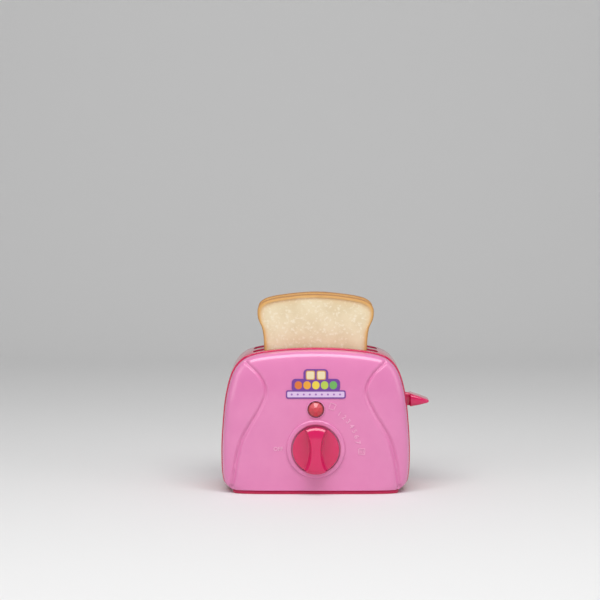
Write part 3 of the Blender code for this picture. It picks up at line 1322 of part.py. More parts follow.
def lamp():
    """Lens in the front shell, the lamp behind it, its board and screws."""
    flange = -INNER_Y + GAP
    front = -FACE_Y
    edge = LENS_RADIUS + LENS_FLANGE_WIDTH
    profile = [
        (0, flange + LENS_FLANGE), (edge, flange + LENS_FLANGE), (edge, flange),
        (LENS_RADIUS, flange), (LENS_RADIUS, front),
    ]
    for k in range(1, 4):
        angle = k * math.pi / 6
        profile.append((LENS_RADIUS * math.cos(angle) if k < 3 else 0, front - LENS_DOME * math.sin(angle)))
    finish("indicator_lens", turned(profile, (0, 0, LENS_Z), "Y", 20), RED_LENS, 0.1)

    foot = BOARD_FRONT - GAP
    tip = foot - LAMP_LENGTH
    collar, top = LAMP_RADIUS + LAMP_COLLAR, foot - LAMP_COLLAR_HEIGHT
    profile = [
        (0, foot), (collar, foot), (collar, top), (LAMP_RADIUS, top),
        (LAMP_RADIUS, tip + LAMP_RADIUS), (0.7 * LAMP_RADIUS, tip + 0.3 * LAMP_RADIUS), (0, tip),
    ]
    finish("lamp_bulb", turned(profile, (0, 0, LENS_Z), "Y", 10), RED_LENS, 0.1)

    low, high = LENS_Z - BOARD_HALF_HEIGHT, LENS_Z + BOARD_HALF_HEIGHT
    board = block((-BOARD_X, BOARD_FRONT, low), (BOARD_X, BOARD_FRONT + BOARD_THICKNESS, high))
    holes = [
        rod(BOARD_SCREW_RADIUS + GAP, BOARD_FRONT - OVERRUN, BOARD_FRONT + BOARD_THICKNESS + OVERRUN,
            (hand * BOARD_POST_X, 0, LENS_Z), "Y", 8)
        for hand in (-1, 1)
    ]
    finish("lamp_board", cut(board, *holes), (0.05, 0.25, 0.10, 1.0), 0.5)
    for name, hand in (("left", -1), ("right", 1)):
        seat = BOARD_FRONT + BOARD_THICKNESS + GAP
        length = seat - BOARD_FRONT + BOARD_SCREW_DEPTH - GAP
        screw(
            f"board_screw_{name}", (hand * BOARD_POST_X, 0, LENS_Z), "Y", seat, 1, length,
            BOARD_SCREW_HEAD_HEIGHT, BOARD_SCREW_RADIUS, BOARD_SCREW_HEAD_RADIUS,
        )


def front_sticker():
    """Thin label on the front shell above the lens, bent to the shell's face."""
    rows, columns = STICKER_STEPS, STICKER_STEPS
    layers = []
    for lift in (GAP, GAP + STICKER_THICKNESS):
        points = []
        for i in range(rows + 1):
            for j in range(columns + 1):
                x = (2 * j / columns - 1) * STICKER_HALF_WIDTH
                z = STICKER_LOW + (STICKER_HIGH - STICKER_LOW) * i / rows
                points.append((x, -(SEAM + face_depth(x, z) + lift), z))
        layers.append(points)
    count = len(layers[0])
    width = columns + 1
    faces = []
    for i in range(rows):
        for j in range(columns):
            a = i * width + j
            faces.append((a, a + 1, a + 1 + width, a + width))
            faces.append((count + a, count + a + width, count + a + 1 + width, count + a + 1))
    rim = [j for j in range(width)]
    rim += [i * width + columns for i in range(1, rows + 1)]
    rim += [rows * width + j for j in range(columns - 1, -1, -1)]
    rim += [i * width for i in range(rows - 1, 0, -1)]
    for a, b in zip(rim, rim[1:] + rim[:1]):
        faces.append((a, b, count + b, count + a))
    finish("front_sticker", close_mesh(layers[0] + layers[1], faces), (0.9, 0.75, 0.9, 1.0), 0.35)


clear_scene()
slider = carrier("carriage_carrier", 0, 0, CARRIAGE_TOP)
turner = carrier("knob_carrier", 0, KNOB_BACK, KNOB_Z)
front_shell()
rear_shell()
centre_frame()
base_plate()
battery_door()
screws()
cells_and_contacts()
guides_and_lift_springs()
carriage(slider)
lever_knob(slider)
bread()
timer_knob(turner)
timer_shaft(turner)
front_plate()
back_plate()
timer_screws()
main_gear(turner)
gear_train()
mainspring()
latch()
latch_pin()
latch_spring()
timer_cam(turner)
lamp()
front_sticker()
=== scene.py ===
import math

import bmesh
import bpy
import numpy as np
from mathutils import Matrix, Vector


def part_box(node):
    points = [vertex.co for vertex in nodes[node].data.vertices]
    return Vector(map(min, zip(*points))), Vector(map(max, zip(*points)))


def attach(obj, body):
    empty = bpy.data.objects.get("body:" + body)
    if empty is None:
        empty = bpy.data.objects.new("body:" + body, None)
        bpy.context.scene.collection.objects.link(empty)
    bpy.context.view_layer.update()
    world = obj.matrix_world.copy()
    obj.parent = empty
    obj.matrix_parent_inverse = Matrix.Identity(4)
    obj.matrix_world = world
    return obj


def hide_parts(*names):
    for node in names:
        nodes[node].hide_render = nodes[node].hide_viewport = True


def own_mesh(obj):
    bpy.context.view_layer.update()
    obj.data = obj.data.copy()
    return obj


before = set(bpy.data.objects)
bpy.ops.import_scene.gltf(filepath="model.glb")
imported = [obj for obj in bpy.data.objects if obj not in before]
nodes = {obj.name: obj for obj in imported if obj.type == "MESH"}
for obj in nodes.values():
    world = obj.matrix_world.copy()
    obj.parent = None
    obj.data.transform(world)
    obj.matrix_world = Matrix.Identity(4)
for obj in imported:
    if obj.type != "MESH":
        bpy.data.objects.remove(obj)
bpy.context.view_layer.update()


# Front shell. One glossy pink injection moulding, dished over the centre frame, with a valley
# down each side of its face that draws the hourglass of the styling. A raised ring runs round
# the knob and a thin rim round the lens, and four long screws from the back hold it on.

BODY_HALF_WIDTH, BODY_FOOT, BODY_TOP = 0.0624, 0.0026, 0.0957
OUTLINE = (
    (0.905, 0.0), (0.976, 0.050), (1.0, 0.234), (0.986, 0.460), (0.947, 0.685), (0.868, 0.855),
    (0.735, 0.943), (0.45, 0.984), (0.0, 1.0),
)
VALLEY = (
    (0.735, 0.918), (0.595, 0.826), (0.529, 0.717), (0.590, 0.595), (0.800, 0.335), (0.893, 0.02),
)
VALLEY_SHALLOW, VALLEY_DEEP = 0.0014, 0.0019
FOOT_HALF_WIDTH = OUTLINE[0][0] * BODY_HALF_WIDTH
SEAM, SHELL_DEPTH, SHELL_WALL, EDGE_POWER = 0.0203, 0.0140, 0.0020, 5.5
FACE = SEAM + SHELL_DEPTH
KNOB_Z, LENS_Z = 0.0306, 0.0572
SCREW_HOLE, HEAD_WELL, SHAFT_HOLE = 0.0015, 0.0028, 0.0025
SHELL_BOSS, BASE_BOSS, BASE_BOSS_HEIGHT, BASE_PILOT_DEPTH = 0.0030, 0.0034, 0.0110, 0.0090
RING_INNER, RING_OUTER, RING_HEIGHT = 0.0162, 0.0196, 0.0015
RING_INNER_ROUND, RING_OUTER_ROUND = 0.0006, 0.0014
LENS_HOLE, RIM_OUTER, RIM_HEIGHT, RIM_ROUND = 0.0056, 0.0064, 0.0006, 0.0004
SUNK = 0.0012
PAST = 0.0010
WELD = 0.000002
SURFACE = {"Colour": "Color", "Roughness": "Float", "Height": "Float"}


def put(tree, kind, feeds=None, **settings):
    """Add a node to a tree; feeds gives its inputs, as values or as other nodes' outputs."""
    made = tree.nodes.new(kind)
    for key, value in settings.items():
        setattr(made, key, value)
    for key, value in (feeds or {}).items():
        socket = made.inputs[key]
        if isinstance(value, bpy.types.NodeSocket):
            tree.links.new(value, socket)
        else:
            socket.default_value = (*value, 1.0) if socket.type == "RGBA" else value
    return made


def reckon(tree, operation, *values):
    """Arithmetic in a tree; a value that is itself an operation with values is reckoned first."""
    values = [reckon(tree, *value) if isinstance(value, tuple) else value for value in values]
    return put(tree, "ShaderNodeMath", dict(enumerate(values)), operation=operation).outputs[0]


def between(tree, value, low, high, to_low=0.0, to_high=1.0):
    """A value's place between two others, held inside them."""
    feeds = {"Value": value, "From Min": low, "From Max": high, "To Min": to_low, "To Max": to_high}
    return put(tree, "ShaderNodeMapRange", feeds).outputs["Result"]


def blended(tree, amount, first, second):
    """A mix of two colours, given as values or as other nodes' outputs."""
    return put(tree, "ShaderNodeMix", {0: amount, 6: first, 7: second}, data_type="RGBA").outputs[2]


def place_in(tree):
    """Where a point of a material lies in its object's own coordinates."""
    return put(tree, "ShaderNodeTexCoord").outputs["Object"]


def noise(tree, scale, detail=2.0, roughness=0.5, vector=None):
    """Cloudy noise over a material, from 0 to 1."""
    feeds = {"Vector": vector or place_in(tree), "Scale": scale, "Detail": detail, "Roughness": roughness}
    return put(tree, "ShaderNodeTexNoise", feeds).outputs["Fac"]


def xyz(tree, vector=None):
    """The three parts of a vector, or of a point's position in a Geometry Nodes tree."""
    vector = vector or put(tree, "GeometryNodeInputPosition").outputs[0]
    return list(put(tree, "ShaderNodeSeparateXYZ", {0: vector}).outputs)


def tree_with(name, kind, inputs, outputs):
    """A new tree whose inputs are named with their defaults or their kinds, and its input sockets."""
    tree = bpy.data.node_groups.new(name, kind)
    kinds = {int: "Int", float: "Float", tuple: "Color" if kind == "ShaderNodeTree" else "Vector"}
    for label, value in inputs.items():
        socket = value if isinstance(value, str) else kinds[type(value)]
        made = tree.interface.new_socket(name=label, in_out="INPUT", socket_type="NodeSocket" + socket)
        if socket != value:
            made.default_value = (*value, 1.0) if socket == "Color" else value
    for label, socket in outputs.items():
        tree.interface.new_socket(name=label, in_out="OUTPUT", socket_type="NodeSocket" + socket)
    asked = tree.nodes.new("NodeGroupInput").outputs
    tree.nodes.new("NodeGroupOutput")
    return tree, asked


def deliver(tree, **values):
    """Link values to a tree's outputs."""
    for label, value in values.items():
        tree.links.new(value, tree.nodes["Group Output"].inputs[label])
    return tree


def shape_tree(name, **inputs):
    """A new Geometry Nodes tree with a material among its inputs, and its input sockets."""
    inputs = {"Geometry": "Geometry", **inputs, "Finish": "Material"}
    inputs = {label.replace("_", " "): value for label, value in inputs.items()}
    return tree_with(name, "GeometryNodeTree", inputs, {"Geometry": "Geometry"})


def end_shape(tree, geometry, finish):
    """End a Geometry Nodes tree with round shading, real geometry and its material."""
    smooth = put(tree, "GeometryNodeSetShadeSmooth", {0: geometry}).outputs[0]
    real = put(tree, "GeometryNodeRealizeInstances", {0: smooth}).outputs[0]
    done = put(tree, "GeometryNodeSetMaterial", {"Geometry": real, "Material": finish})
    return deliver(tree, Geometry=done.outputs[0])


def moulded_plastic():
    """Colour, roughness and height of a moulded surface: slow mottle and fine polishing marks."""
    tree, ask = tree_with("moulded_plastic", "ShaderNodeTree", {
        "Colour": (0.8, 0.8, 0.8), "Shade": (0.6, 0.6, 0.6), "Mottle size": 60.0, "Smooth": 0.2,
        "Rough": 0.3,
    }, SURFACE)
    slow = noise(tree, ask["Mottle size"], 3.0, 0.55)
    fine = noise(tree, 2600.0, 1.0)
    return deliver(
        tree, Colour=blended(tree, between(tree, slow, 0.35, 0.70), ask["Shade"], ask["Colour"]),
        Roughness=between(tree, fine, 0.3, 0.7, ask["Smooth"], ask["Rough"]),
        Height=reckon(tree, "ADD", ("MULTIPLY", slow, 0.7), ("MULTIPLY", fine, 0.3)),
    )


PLASTIC = moulded_plastic()


def plain_material(name):
    """A material with its shader ready, and the shader."""
    material = bpy.data.materials.new(name)
    material.use_nodes = True
    return material, material.node_tree, material.node_tree.nodes["Principled BSDF"]


def dress(shader, colour, roughness, height, strength, distance, **values):
    """Link a shader's colour, roughness and relief, and set its other values."""
    tree = shader.id_data
    bumps = put(tree, "ShaderNodeBump", {"Height": height, "Strength": strength, "Distance": distance})
    normal = bumps.outputs["Normal"]
    for label, value in (("Base Color", colour), ("Roughness", roughness), ("Normal", normal)):
        tree.links.new(value, shader.inputs[label])
    for label, value in values.items():
        shader.inputs[label.replace("_", " ")].default_value = value


def plastic(name, colour, shade, smooth, rough, coat=0.6):
    """A material of moulded plastic that wanders between two close colours."""
    material, tree, shader = plain_material(name)
    made = put(tree, "ShaderNodeGroup", {
        "Colour": colour, "Shade": shade, "Smooth": smooth, "Rough": rough,
    }, node_tree=PLASTIC).outputs
    dress(shader, *made, strength=0.05, distance=0.000004, Coat_Weight=coat, Coat_Roughness=0.06)
    return material


PINK_PLASTIC = plastic("pink_gloss_plastic", (0.770, 0.235, 0.475), (0.745, 0.215, 0.455), 0.22, 0.25)


def smooth_curve(points, steps):
    """A smooth curve through the given points, with so many steps from each to the next."""
    points = [np.array(p, dtype=float) for p in points]
    lengths = [float(np.linalg.norm(b - a)) for a, b in zip(points, points[1:])]
    slopes = [(points[1] - points[0]) / lengths[0]]
    for k in range(1, len(points) - 1):
        slopes.append((points[k + 1] - points[k - 1]) / (lengths[k - 1] + lengths[k]))
    slopes.append((points[-1] - points[-2]) / lengths[-1])
    result = []
    for k, length in enumerate(lengths):
        for step in range(steps):
            t = step / steps
            near = (1 + 2 * t) * (1 - t) ** 2
            bend = slopes[k] * t * (1 - t) ** 2 - slopes[k + 1] * (1 - t) * t ** 2
            result.append(points[k] * near + points[k + 1] * (1 - near) + bend * length)
    result.append(points[-1])
    return [tuple(float(v) for v in p) for p in result]


def inset(points, distance):
    """Move each point of a counter-clockwise outline inwards by a distance."""
    moved = []
    for before, point, after in zip(points[-1:] + points[:-1], points, points[1:] + points[:1]):
        point = Vector(point)
        normals = [Vector((-d.y, d.x)).normalized() for d in (point - Vector(before), Vector(after) - point)]
        middle = (normals[0] + normals[1]).normalized()
        moved.append(tuple(point + middle * (distance / max(0.5, middle.dot(normals[0])))))
    return moved


def mirrored(shares, half_width, bottom, height, steps):
    """A smooth outline from its right foot over the top to its left foot, in x and z."""
    right = [(x * half_width, bottom + z * height) for x, z in shares]
    return smooth_curve(right + [(-x, z) for x, z in reversed(right[:-1])], steps)


def arch(offset=0.0):
    """The body's outline from foot to foot, in x and z, grown by offset."""
    points = mirrored(OUTLINE, BODY_HALF_WIDTH, BODY_FOOT, BODY_TOP - BODY_FOOT, 12)
    if not offset:
        return points
    slope = (points[1][0] - points[0][0]) / (points[1][1] - points[0][1])
    foot = points[0][0] + offset * math.hypot(1, slope)
    grown = [point for point in inset(points, -offset)[1:-1] if point[1] > BODY_FOOT + 0.0003]
    return [(foot, BODY_FOOT)] + grown + [(-foot, BODY_FOOT)]


FINE_ARCH = arch()


def outline_share(x, z):
    """How far a point lies from the middle of the foot towards the body's outline, as a share."""
    for a, b in zip(FINE_ARCH, FINE_ARCH[1:]):
        p, q = (a[0], a[1] - BODY_FOOT), (b[0], b[1] - BODY_FOOT)
        edge = (q[0] - p[0], q[1] - p[1])
        area = x * edge[1] - (z - BODY_FOOT) * edge[0]
        if not area:
            continue
        scale = (p[0] * edge[1] - p[1] * edge[0]) / area
        along = (p[0] * (z - BODY_FOOT) - p[1] * x) / area
        if scale > 0 and -1e-9 <= along <= 1 + 1e-9:
            return 1 / scale
    return 0.0


def face_depth(x, z):
    """How far the shell's face lies in front of the seam at a point."""
    return SHELL_DEPTH * (1 - min(1.0, outline_share(x, z)) ** EDGE_POWER) ** (1 / EDGE_POWER)


def dish_tree():
    """A dished shell over an outline, whose edge is a superellipse, with valleys along given lines."""
    tree, ask = shape_tree(
        "dished_shell", Outline="Object", Valley_lines="Object", Columns=400, Rings=100,
        Edge_share=0.16, Edge_angle=math.radians(35), Edge_power=EDGE_POWER, Seam=SEAM,
        Depth=SHELL_DEPTH, Foot=BODY_FOOT, Side=-1.0, Neck_height=0.0690, Narrow=0.0017, Wide=0.0030,
        Shallow=VALLEY_SHALLOW, Deep=VALLEY_DEEP,
    )
    grid = put(tree, "GeometryNodeMeshGrid", {
        "Size X": 1.0, "Size Y": 1.0, "Vertices X": ask["Columns"], "Vertices Y": ask["Rings"],
    })
    along, inward = [reckon(tree, "ADD", part, 0.5) for part in xyz(tree)[:2]]

    # The share of the outline at each ring: by angle at the edge, and in even steps on the face
    power = ask["Edge power"]
    flatten = reckon(tree, "DIVIDE", 2.0, power)
    angle = reckon(tree, "MULTIPLY", ask["Edge angle"], between(tree, inward, 0.0, ask["Edge share"]))
    at_edge = reckon(tree, "POWER", ("COSINE", angle), flatten)
    last_edge = reckon(tree, "POWER", ("COSINE", ask["Edge angle"]), flatten)
    on_face = reckon(tree, "MULTIPLY", last_edge, between(tree, inward, ask["Edge share"], 1.0, 1.0, 0.0))
    share = reckon(tree, "SUBTRACT", ("ADD", at_edge, on_face), last_edge)
    rest = reckon(tree, "MAXIMUM", ("SUBTRACT", 1.0, ("POWER", share, power)), 0.0)
    forward = reckon(tree, "POWER", rest, ("DIVIDE", 1.0, power))

    line = put(tree, "GeometryNodeObjectInfo", {"Object": ask["Outline"]}).outputs["Geometry"]
    sample = put(tree, "GeometryNodeSampleCurve", {"Curves": line, "Factor": along}, mode="FACTOR")
    rim_x, _, rim_z = xyz(tree, sample.outputs["Position"])
    reach = ("ADD", ask["Seam"], ("MULTIPLY", ask["Depth"], forward))
    rise = ("MULTIPLY", ("SUBTRACT", rim_z, ask["Foot"]), share)
    place = put(tree, "ShaderNodeCombineXYZ", {
        "X": reckon(tree, "MULTIPLY", rim_x, share), "Y": reckon(tree, "MULTIPLY", reach, ask["Side"]),
        "Z": reckon(tree, "ADD", ask["Foot"], rise),
    })
    dished = put(tree, "GeometryNodeSetPosition", {
        "Geometry": grid.outputs["Mesh"], "Position": place.outputs[0],
    })

    # The valley: steep on its outer side, gentle on the side of the face, and wider at the foot
    lines = put(tree, "GeometryNodeObjectInfo", {"Object": ask["Valley lines"]}).outputs["Geometry"]
    near = put(tree, "GeometryNodeProximity", {0: lines}, target_element="EDGES").outputs
    near_x, _, near_z = xyz(tree, near["Position"])
    outside = reckon(tree, "SIGN", ("SUBTRACT", ("ABSOLUTE", xyz(tree)[0]), ("ABSOLUTE", near_x)))
    half, sunk = [
        between(tree, near_z, ask["Foot"], ask["Neck height"], ask[at_foot], ask[at_neck])
        for at_foot, at_neck in (("Wide", "Narrow"), ("Deep", "Shallow"))
    ]
    offset = reckon(tree, "DIVIDE", ("MULTIPLY", near["Distance"], outside), half)
    curve = put(tree, "ShaderNodeFloatCurve", {"Value": between(tree, offset, -1.0, 1.0)})
    shape = curve.mapping.curves[0]
    shape.points[0].location = (0.0, 0.0)
    shape.points[1].location = (1.0, 0.0)
    for x, y in ((0.12, 0.06), (0.50, 0.88), (0.60, 1.0), (0.70, 0.86), (0.90, 0.10)):
        shape.points.new(x, y)
    curve.mapping.update()
    normal = put(tree, "GeometryNodeInputNormal").outputs[0]
    way = reckon(tree, "MULTIPLY", ("SIGN", xyz(tree, normal)[1]), ask["Side"])
    drop = reckon(tree, "MULTIPLY", ("MULTIPLY", curve.outputs[0], sunk), -1.0)
    drop = put(tree, "GeometryNodeBlurAttribute", {0: drop, "Iterations": 1}, data_type="FLOAT").outputs[0]
    push = put(tree, "ShaderNodeVectorMath", {
        0: normal, "Scale": reckon(tree, "MULTIPLY", drop, way),
    }, operation="SCALE")
    carved = put(tree, "GeometryNodeSetPosition", {
        "Geometry": dished.outputs[0], "Offset": push.outputs[0],
    })
    return end_shape(tree, carved.outputs[0], ask["Finish"])


DISH = dish_tree()


def show(name, data):
    """A mesh or curve as an object in the scene."""
    piece = bpy.data.objects.new(name, data)
    bpy.context.scene.collection.objects.link(piece)
    return piece


def drop_objects(*pieces):
    """Take helpers out of the scene."""
    for piece in pieces:
        bpy.data.objects.remove(piece, do_unlink=True)


def applied(piece):
    """A piece's mesh with its modifiers applied; the piece itself leaves the scene."""
    bpy.context.view_layer.update()
    depsgraph = bpy.context.evaluated_depsgraph_get()
    mesh = bpy.data.meshes.new_from_object(piece.evaluated_get(depsgraph), depsgraph=depsgraph)
    drop_objects(piece)
    return mesh


def grow(tree, values, start=None):
    """The mesh that a Geometry Nodes tree makes with its inputs set."""
    piece = show("shape", start or bpy.data.meshes.new("shape"))
    modifier = piece.modifiers.new("make", "NODES")
    modifier.node_group = tree
    for item in tree.interface.items_tree:
        if item.in_out == "INPUT" and item.name in values:
            modifier[item.identifier] = values[item.name]
    return applied(piece)


def line_object(points):
    """A curve through points that a tree can sample."""
    curve = bpy.data.curves.new("line", "CURVE")
    curve.dimensions = "3D"
    spline = curve.splines.new("POLY")
    spline.points.add(len(points) - 1)
    for k, point in enumerate(points):
        spline.points[k].co = (*point, 1.0)
    return show("line", curve)


def cleaned(*meshes, weld=0.0, slivers=False):
    """Meshes as one with its faces turned outwards, after a weld where points lie on each other."""
    work = bmesh.new()
    for mesh in meshes:
        work.from_mesh(mesh)
    if weld:
        bmesh.ops.remove_doubles(work, verts=work.verts, dist=weld)
    if slivers:
        bmesh.ops.dissolve_degenerate(work, dist=weld, edges=work.edges)
    bmesh.ops.recalc_face_normals(work, faces=work.faces)
    work.to_mesh(meshes[0])
    work.free()
    return meshes[0]


def mesh_of(vertices, faces):
    """A mesh from points and faces, with its normals pointing outwards."""
    mesh = bpy.data.meshes.new("shape")
    mesh.from_pydata([tuple(v) for v in vertices], [], faces)
    return cleaned(mesh)


def combine(mesh, operation, *cutters):
    """Join cutters to a mesh (UNION) or take them out of it (DIFFERENCE)."""
    body = show("body", mesh)
    tools = [show("tool", cutter) for cutter in cutters]
    for tool in tools:
        modifier = body.modifiers.new("cut", "BOOLEAN")
        modifier.operation, modifier.object = operation, tool
    result = applied(body)
    drop_objects(*tools)
    return cleaned(result, weld=WELD, slivers=True)


def moulded(mesh, adds, holes):
    """A moulding with its bosses and lugs joined to it, and then its holes cut."""
    return combine(combine(mesh, "UNION", *adds), "DIFFERENCE", *holes)


def faces_between(rings, closed):
    """Faces from each ring of point numbers to the next; a point named twice counts once."""
    faces = []
    for k in range(len(rings) if closed else len(rings) - 1):
        first, second = rings[k], rings[(k + 1) % len(rings)]
        for j in range(len(first)):
            after = (j + 1) % len(first)
            corners = (first[j], first[after], second[after], second[j])
            faces.append(tuple(dict.fromkeys(corners)))
    return faces


def turned(profile, centre, axis="Y", sides=64):
    """Turn a profile of (radius, height) about an axis. From radius 0 to 0 it is a solid, else a ring."""
    directions = {"X": Vector((1, 0, 0)), "Y": Vector((0, 1, 0)), "Z": Vector((0, 0, 1))}
    along = directions[axis]
    across = directions["Z"] if axis != "Z" else directions["X"]
    third = along.cross(across)
    vertices, rings = [], []
    for radius, height in profile:
        base = Vector(centre) + along * height
        if radius == 0:
            rings.append([len(vertices)] * sides)
            vertices.append(base)
            continue
        rings.append(list(range(len(vertices), len(vertices) + sides)))
        for k in range(sides):
            angle = 2 * math.pi * k / sides
            vertices.append(base + (across * math.cos(angle) + third * math.sin(angle)) * radius)
    return mesh_of(vertices, faces_between(rings, profile[0][0] != 0))


def rod(radius, start, end, centre, axis="Y", sides=32):
    """A plain round bar, used to cut holes and to add bosses."""
    return turned([(0, start), (radius, start), (radius, end), (0, end)], centre, axis, sides)


def rounded_corner(centre, radius, start, end, steps=5):
    """Points of a profile's round corner, from one angle to another in degrees."""
    angles = [math.radians(start + (end - start) * k / steps) for k in range(steps + 1)]
    return [(centre[0] + radius * math.cos(a), centre[1] + radius * math.sin(a)) for a in angles]


def stack(rings, closed=False):
    """Skin over closed rings of equal point counts, with flat ends or back to the first ring."""
    count = len(rings[0])
    numbers = [list(range(k * count, (k + 1) * count)) for k in range(len(rings))]
    faces = faces_between(numbers, closed) + ([] if closed else [tuple(numbers[0]), tuple(numbers[-1])])
    return mesh_of([point for ring in rings for point in ring], faces)


def slab(outline, low, high, edge=0.0, steps=4, axis="Z"):
    """An outline, thick along an axis, with rounded rims."""
    levels = [(low, 0.0), (high, 0.0)]
    if edge:
        turns = [math.pi / 2 * k / steps for k in range(steps + 1)]
        drawn_in = [(edge * (1 - math.cos(a)), edge * (1 - math.sin(a))) for a in turns]
        levels = [(low + up, d) for up, d in drawn_in] + [(high - up, d) for up, d in reversed(drawn_in)]
    rings = []
    for level, distance in levels:
        drawn = inset(outline, distance) if distance > 1e-9 else outline
        rings.append([(a, b, level) if axis == "Z" else (a, level, b) for a, b in drawn])
    return stack(rings)


def brick(low, high):
    """A square-cornered cutter or lug."""
    return slab([(low[0], low[1]), (high[0], low[1]), (high[0], high[1]), (low[0], high[1])], low[2], high[2])


def closed_dish(side, columns, rings, inner_rings=14):
    """The bare shell: its outer face, its inner face and the two rims between them."""
    path = smooth_curve(
        [(x * BODY_HALF_WIDTH, BODY_FOOT + z * (BODY_TOP - BODY_FOOT)) for x, z in VALLEY], 12,
    )
    x, z = path[0]
    line = [(x, side * (SEAM + share * face_depth(x, z)), z) for share in (-0.2, 0.25, 0.6, 0.85)]
    line += [(x, side * (SEAM + face_depth(x, z)), z) for x, z in path]
    line.append((line[-1][0] + 0.0004, line[-1][1], BODY_FOOT - PAST))
    edges = [(k, k + 1) for k in range(2 * len(line) - 1) if k != len(line) - 1]
    mesh = bpy.data.meshes.new("valley_lines")
    mesh.from_pydata(line + [(-x, y, z) for x, y, z in line], edges, [])
    valleys = show("valley_lines", mesh)
    points, grids = [], []
    for grow_by, depth, count, edge_share, deep in (
        (0.0, SHELL_DEPTH, rings, 0.16, 1.0), (-SHELL_WALL, SHELL_DEPTH - SHELL_WALL, inner_rings, 0.5, 0.0),
    ):
        rim = line_object([(x, 0.0, z) for x, z in arch(grow_by)])
        mesh = grow(DISH, {
            "Outline": rim, "Valley lines": valleys, "Columns": columns, "Rings": count,
            "Edge share": edge_share, "Depth": depth, "Side": float(side),
            "Shallow": VALLEY_SHALLOW * deep, "Deep": VALLEY_DEEP * deep, "Finish": PINK_PLASTIC,
        })
        start = len(points)
        grids.append([[start + c * count + r for r in range(count)] for c in range(columns)])
        points += [tuple(vertex.co) for vertex in mesh.vertices]
        drop_objects(rim)
    drop_objects(valleys)
    outer, inner = grids
    faces = [
        (grid[c][r], grid[c + 1][r], grid[c + 1][r + 1], grid[c][r + 1])
        for grid in grids for c in range(columns - 1) for r in range(len(grid[0]) - 1)
    ]
    faces += [(outer[c][0], outer[c + 1][0], inner[c + 1][0], inner[c][0]) for c in range(columns - 1)]
    faces.append(tuple(outer[0] + outer[-1][-2::-1] + inner[-1] + inner[0][-2::-1]))
    shell = bpy.data.meshes.new("shell")
    shell.from_pydata(points, [], faces)
    return cleaned(shell, weld=WELD, slivers=True)


def boss_end(x, z, radius):
    """Where a boss on a shell's inside ends, half-way into the wall."""
    return SEAM + face_depth(abs(x) + radius, z + radius) - 0.5 * SHELL_WALL


def half_width(z):
    """Half the body's width at a height."""
    for a, b in zip(FINE_ARCH, FINE_ARCH[1:]):
        if a[1] <= z <= b[1]:
            return a[0] + (b[0] - a[0]) * (z - a[1]) / (b[1] - a[1])
    return FINE_ARCH[0][0]


def dressed(name, mesh, crisp, material, body, slot, *replaced):
    """A finished mesh as a piece that rides on a body, with edges crisp above an angle in degrees."""
    mesh.shade_smooth()
    mesh.set_sharp_from_angle(angle=math.radians(crisp))
    mesh.materials.clear()
    mesh.materials.append(material)
    piece = show(name, mesh)
    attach(piece, body)
    if replaced:
        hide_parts(*replaced)
    return piece


SHELL_SCREWS = [(hand * (half_width(z) - 0.0098), z) for z in (0.0190, 0.0700) for hand in (-1, 1)]
BASE_SCREW_X, BASE_SCREW_Y = FOOT_HALF_WIDTH - 0.0085, FACE - 0.0055
BOARD_SCREWS = [(hand * 0.0086, LENS_Z) for hand in (-1, 1)]
TIMER_REACH = 0.0220
TIMER_PILLARS = [
    (x * TIMER_REACH, KNOB_Z + z * TIMER_REACH)
    for x, z in ((-1.09, -0.68), (0.59, -0.77), (-0.045, 0.795), (-1.14, 0.73))
]


def base_bosses(side):
    """Bosses that take the base plate's screws, and their holes."""
    centres = [(hand * BASE_SCREW_X, side * BASE_SCREW_Y, 0) for hand in (-1, 1)]
    top, bottom = BODY_FOOT + BASE_BOSS_HEIGHT, BODY_FOOT + BASE_PILOT_DEPTH
    bosses = [rod(BASE_BOSS, BODY_FOOT, top, centre, "Z", 24) for centre in centres]
    return bosses, [rod(SCREW_HOLE, BODY_FOOT - PAST, bottom, centre, "Z", 16) for centre in centres]


adds, holes = base_bosses(-1)
for x, z in SHELL_SCREWS:
    end = -boss_end(x, z, SHELL_BOSS)
    adds.append(rod(SHELL_BOSS, end, -SEAM, (x, 0, z), sides=24))
    holes.append(rod(SCREW_HOLE, end + SHELL_WALL, -SEAM + PAST, (x, 0, z), sides=16))
for places, radius, seat, pilot, pilot_end in (
    (TIMER_PILLARS, 0.0022, -0.0309, 0.0012, -0.0331), (BOARD_SCREWS, 0.0017, -0.0244, 0.0010, -0.0284),
):
    for x, z in places:
        adds.append(rod(radius, -FACE + 0.5 * SHELL_WALL, seat, (x, 0, z), sides=24))
        holes.append(rod(pilot, pilot_end, seat + PAST, (x, 0, z), sides=16))
inner_corner = (RING_INNER + RING_INNER_ROUND, RING_INNER_ROUND - RING_HEIGHT)
outer_corner = (RING_OUTER - RING_OUTER_ROUND, RING_OUTER_ROUND - RING_HEIGHT)
knob_ring = (
    [(RING_INNER, SUNK)] + rounded_corner(inner_corner, RING_INNER_ROUND, 180, 270)
    + rounded_corner(outer_corner, RING_OUTER_ROUND, 270, 352, 8) + [(RING_OUTER, SUNK)]
)
adds.append(turned(knob_ring, (0, -FACE, KNOB_Z), sides=128))
lens_rim = (
    [(0, -RIM_HEIGHT), (LENS_HOLE, -RIM_HEIGHT)]
    + rounded_corner((LENS_HOLE + 0.0003, RIM_ROUND - RIM_HEIGHT), RIM_ROUND, 270, 350, 4)
    + [(RIM_OUTER, SUNK), (0, SUNK)]
)
adds.append(turned(lens_rim, (0, -FACE, LENS_Z), sides=72))
holes.append(rod(SHAFT_HOLE, -PAST, 0.0030, (0, -FACE, KNOB_Z)))
holes.append(rod(LENS_HOLE, -0.0016, 0.0030, (0, -FACE, LENS_Z), sides=72))
front = moulded(closed_dish(-1, 620, 140), adds, holes)
dressed("front_shell_moulding", front, 38, PINK_PLASTIC, "housing", "pink_plastic", "front_shell")


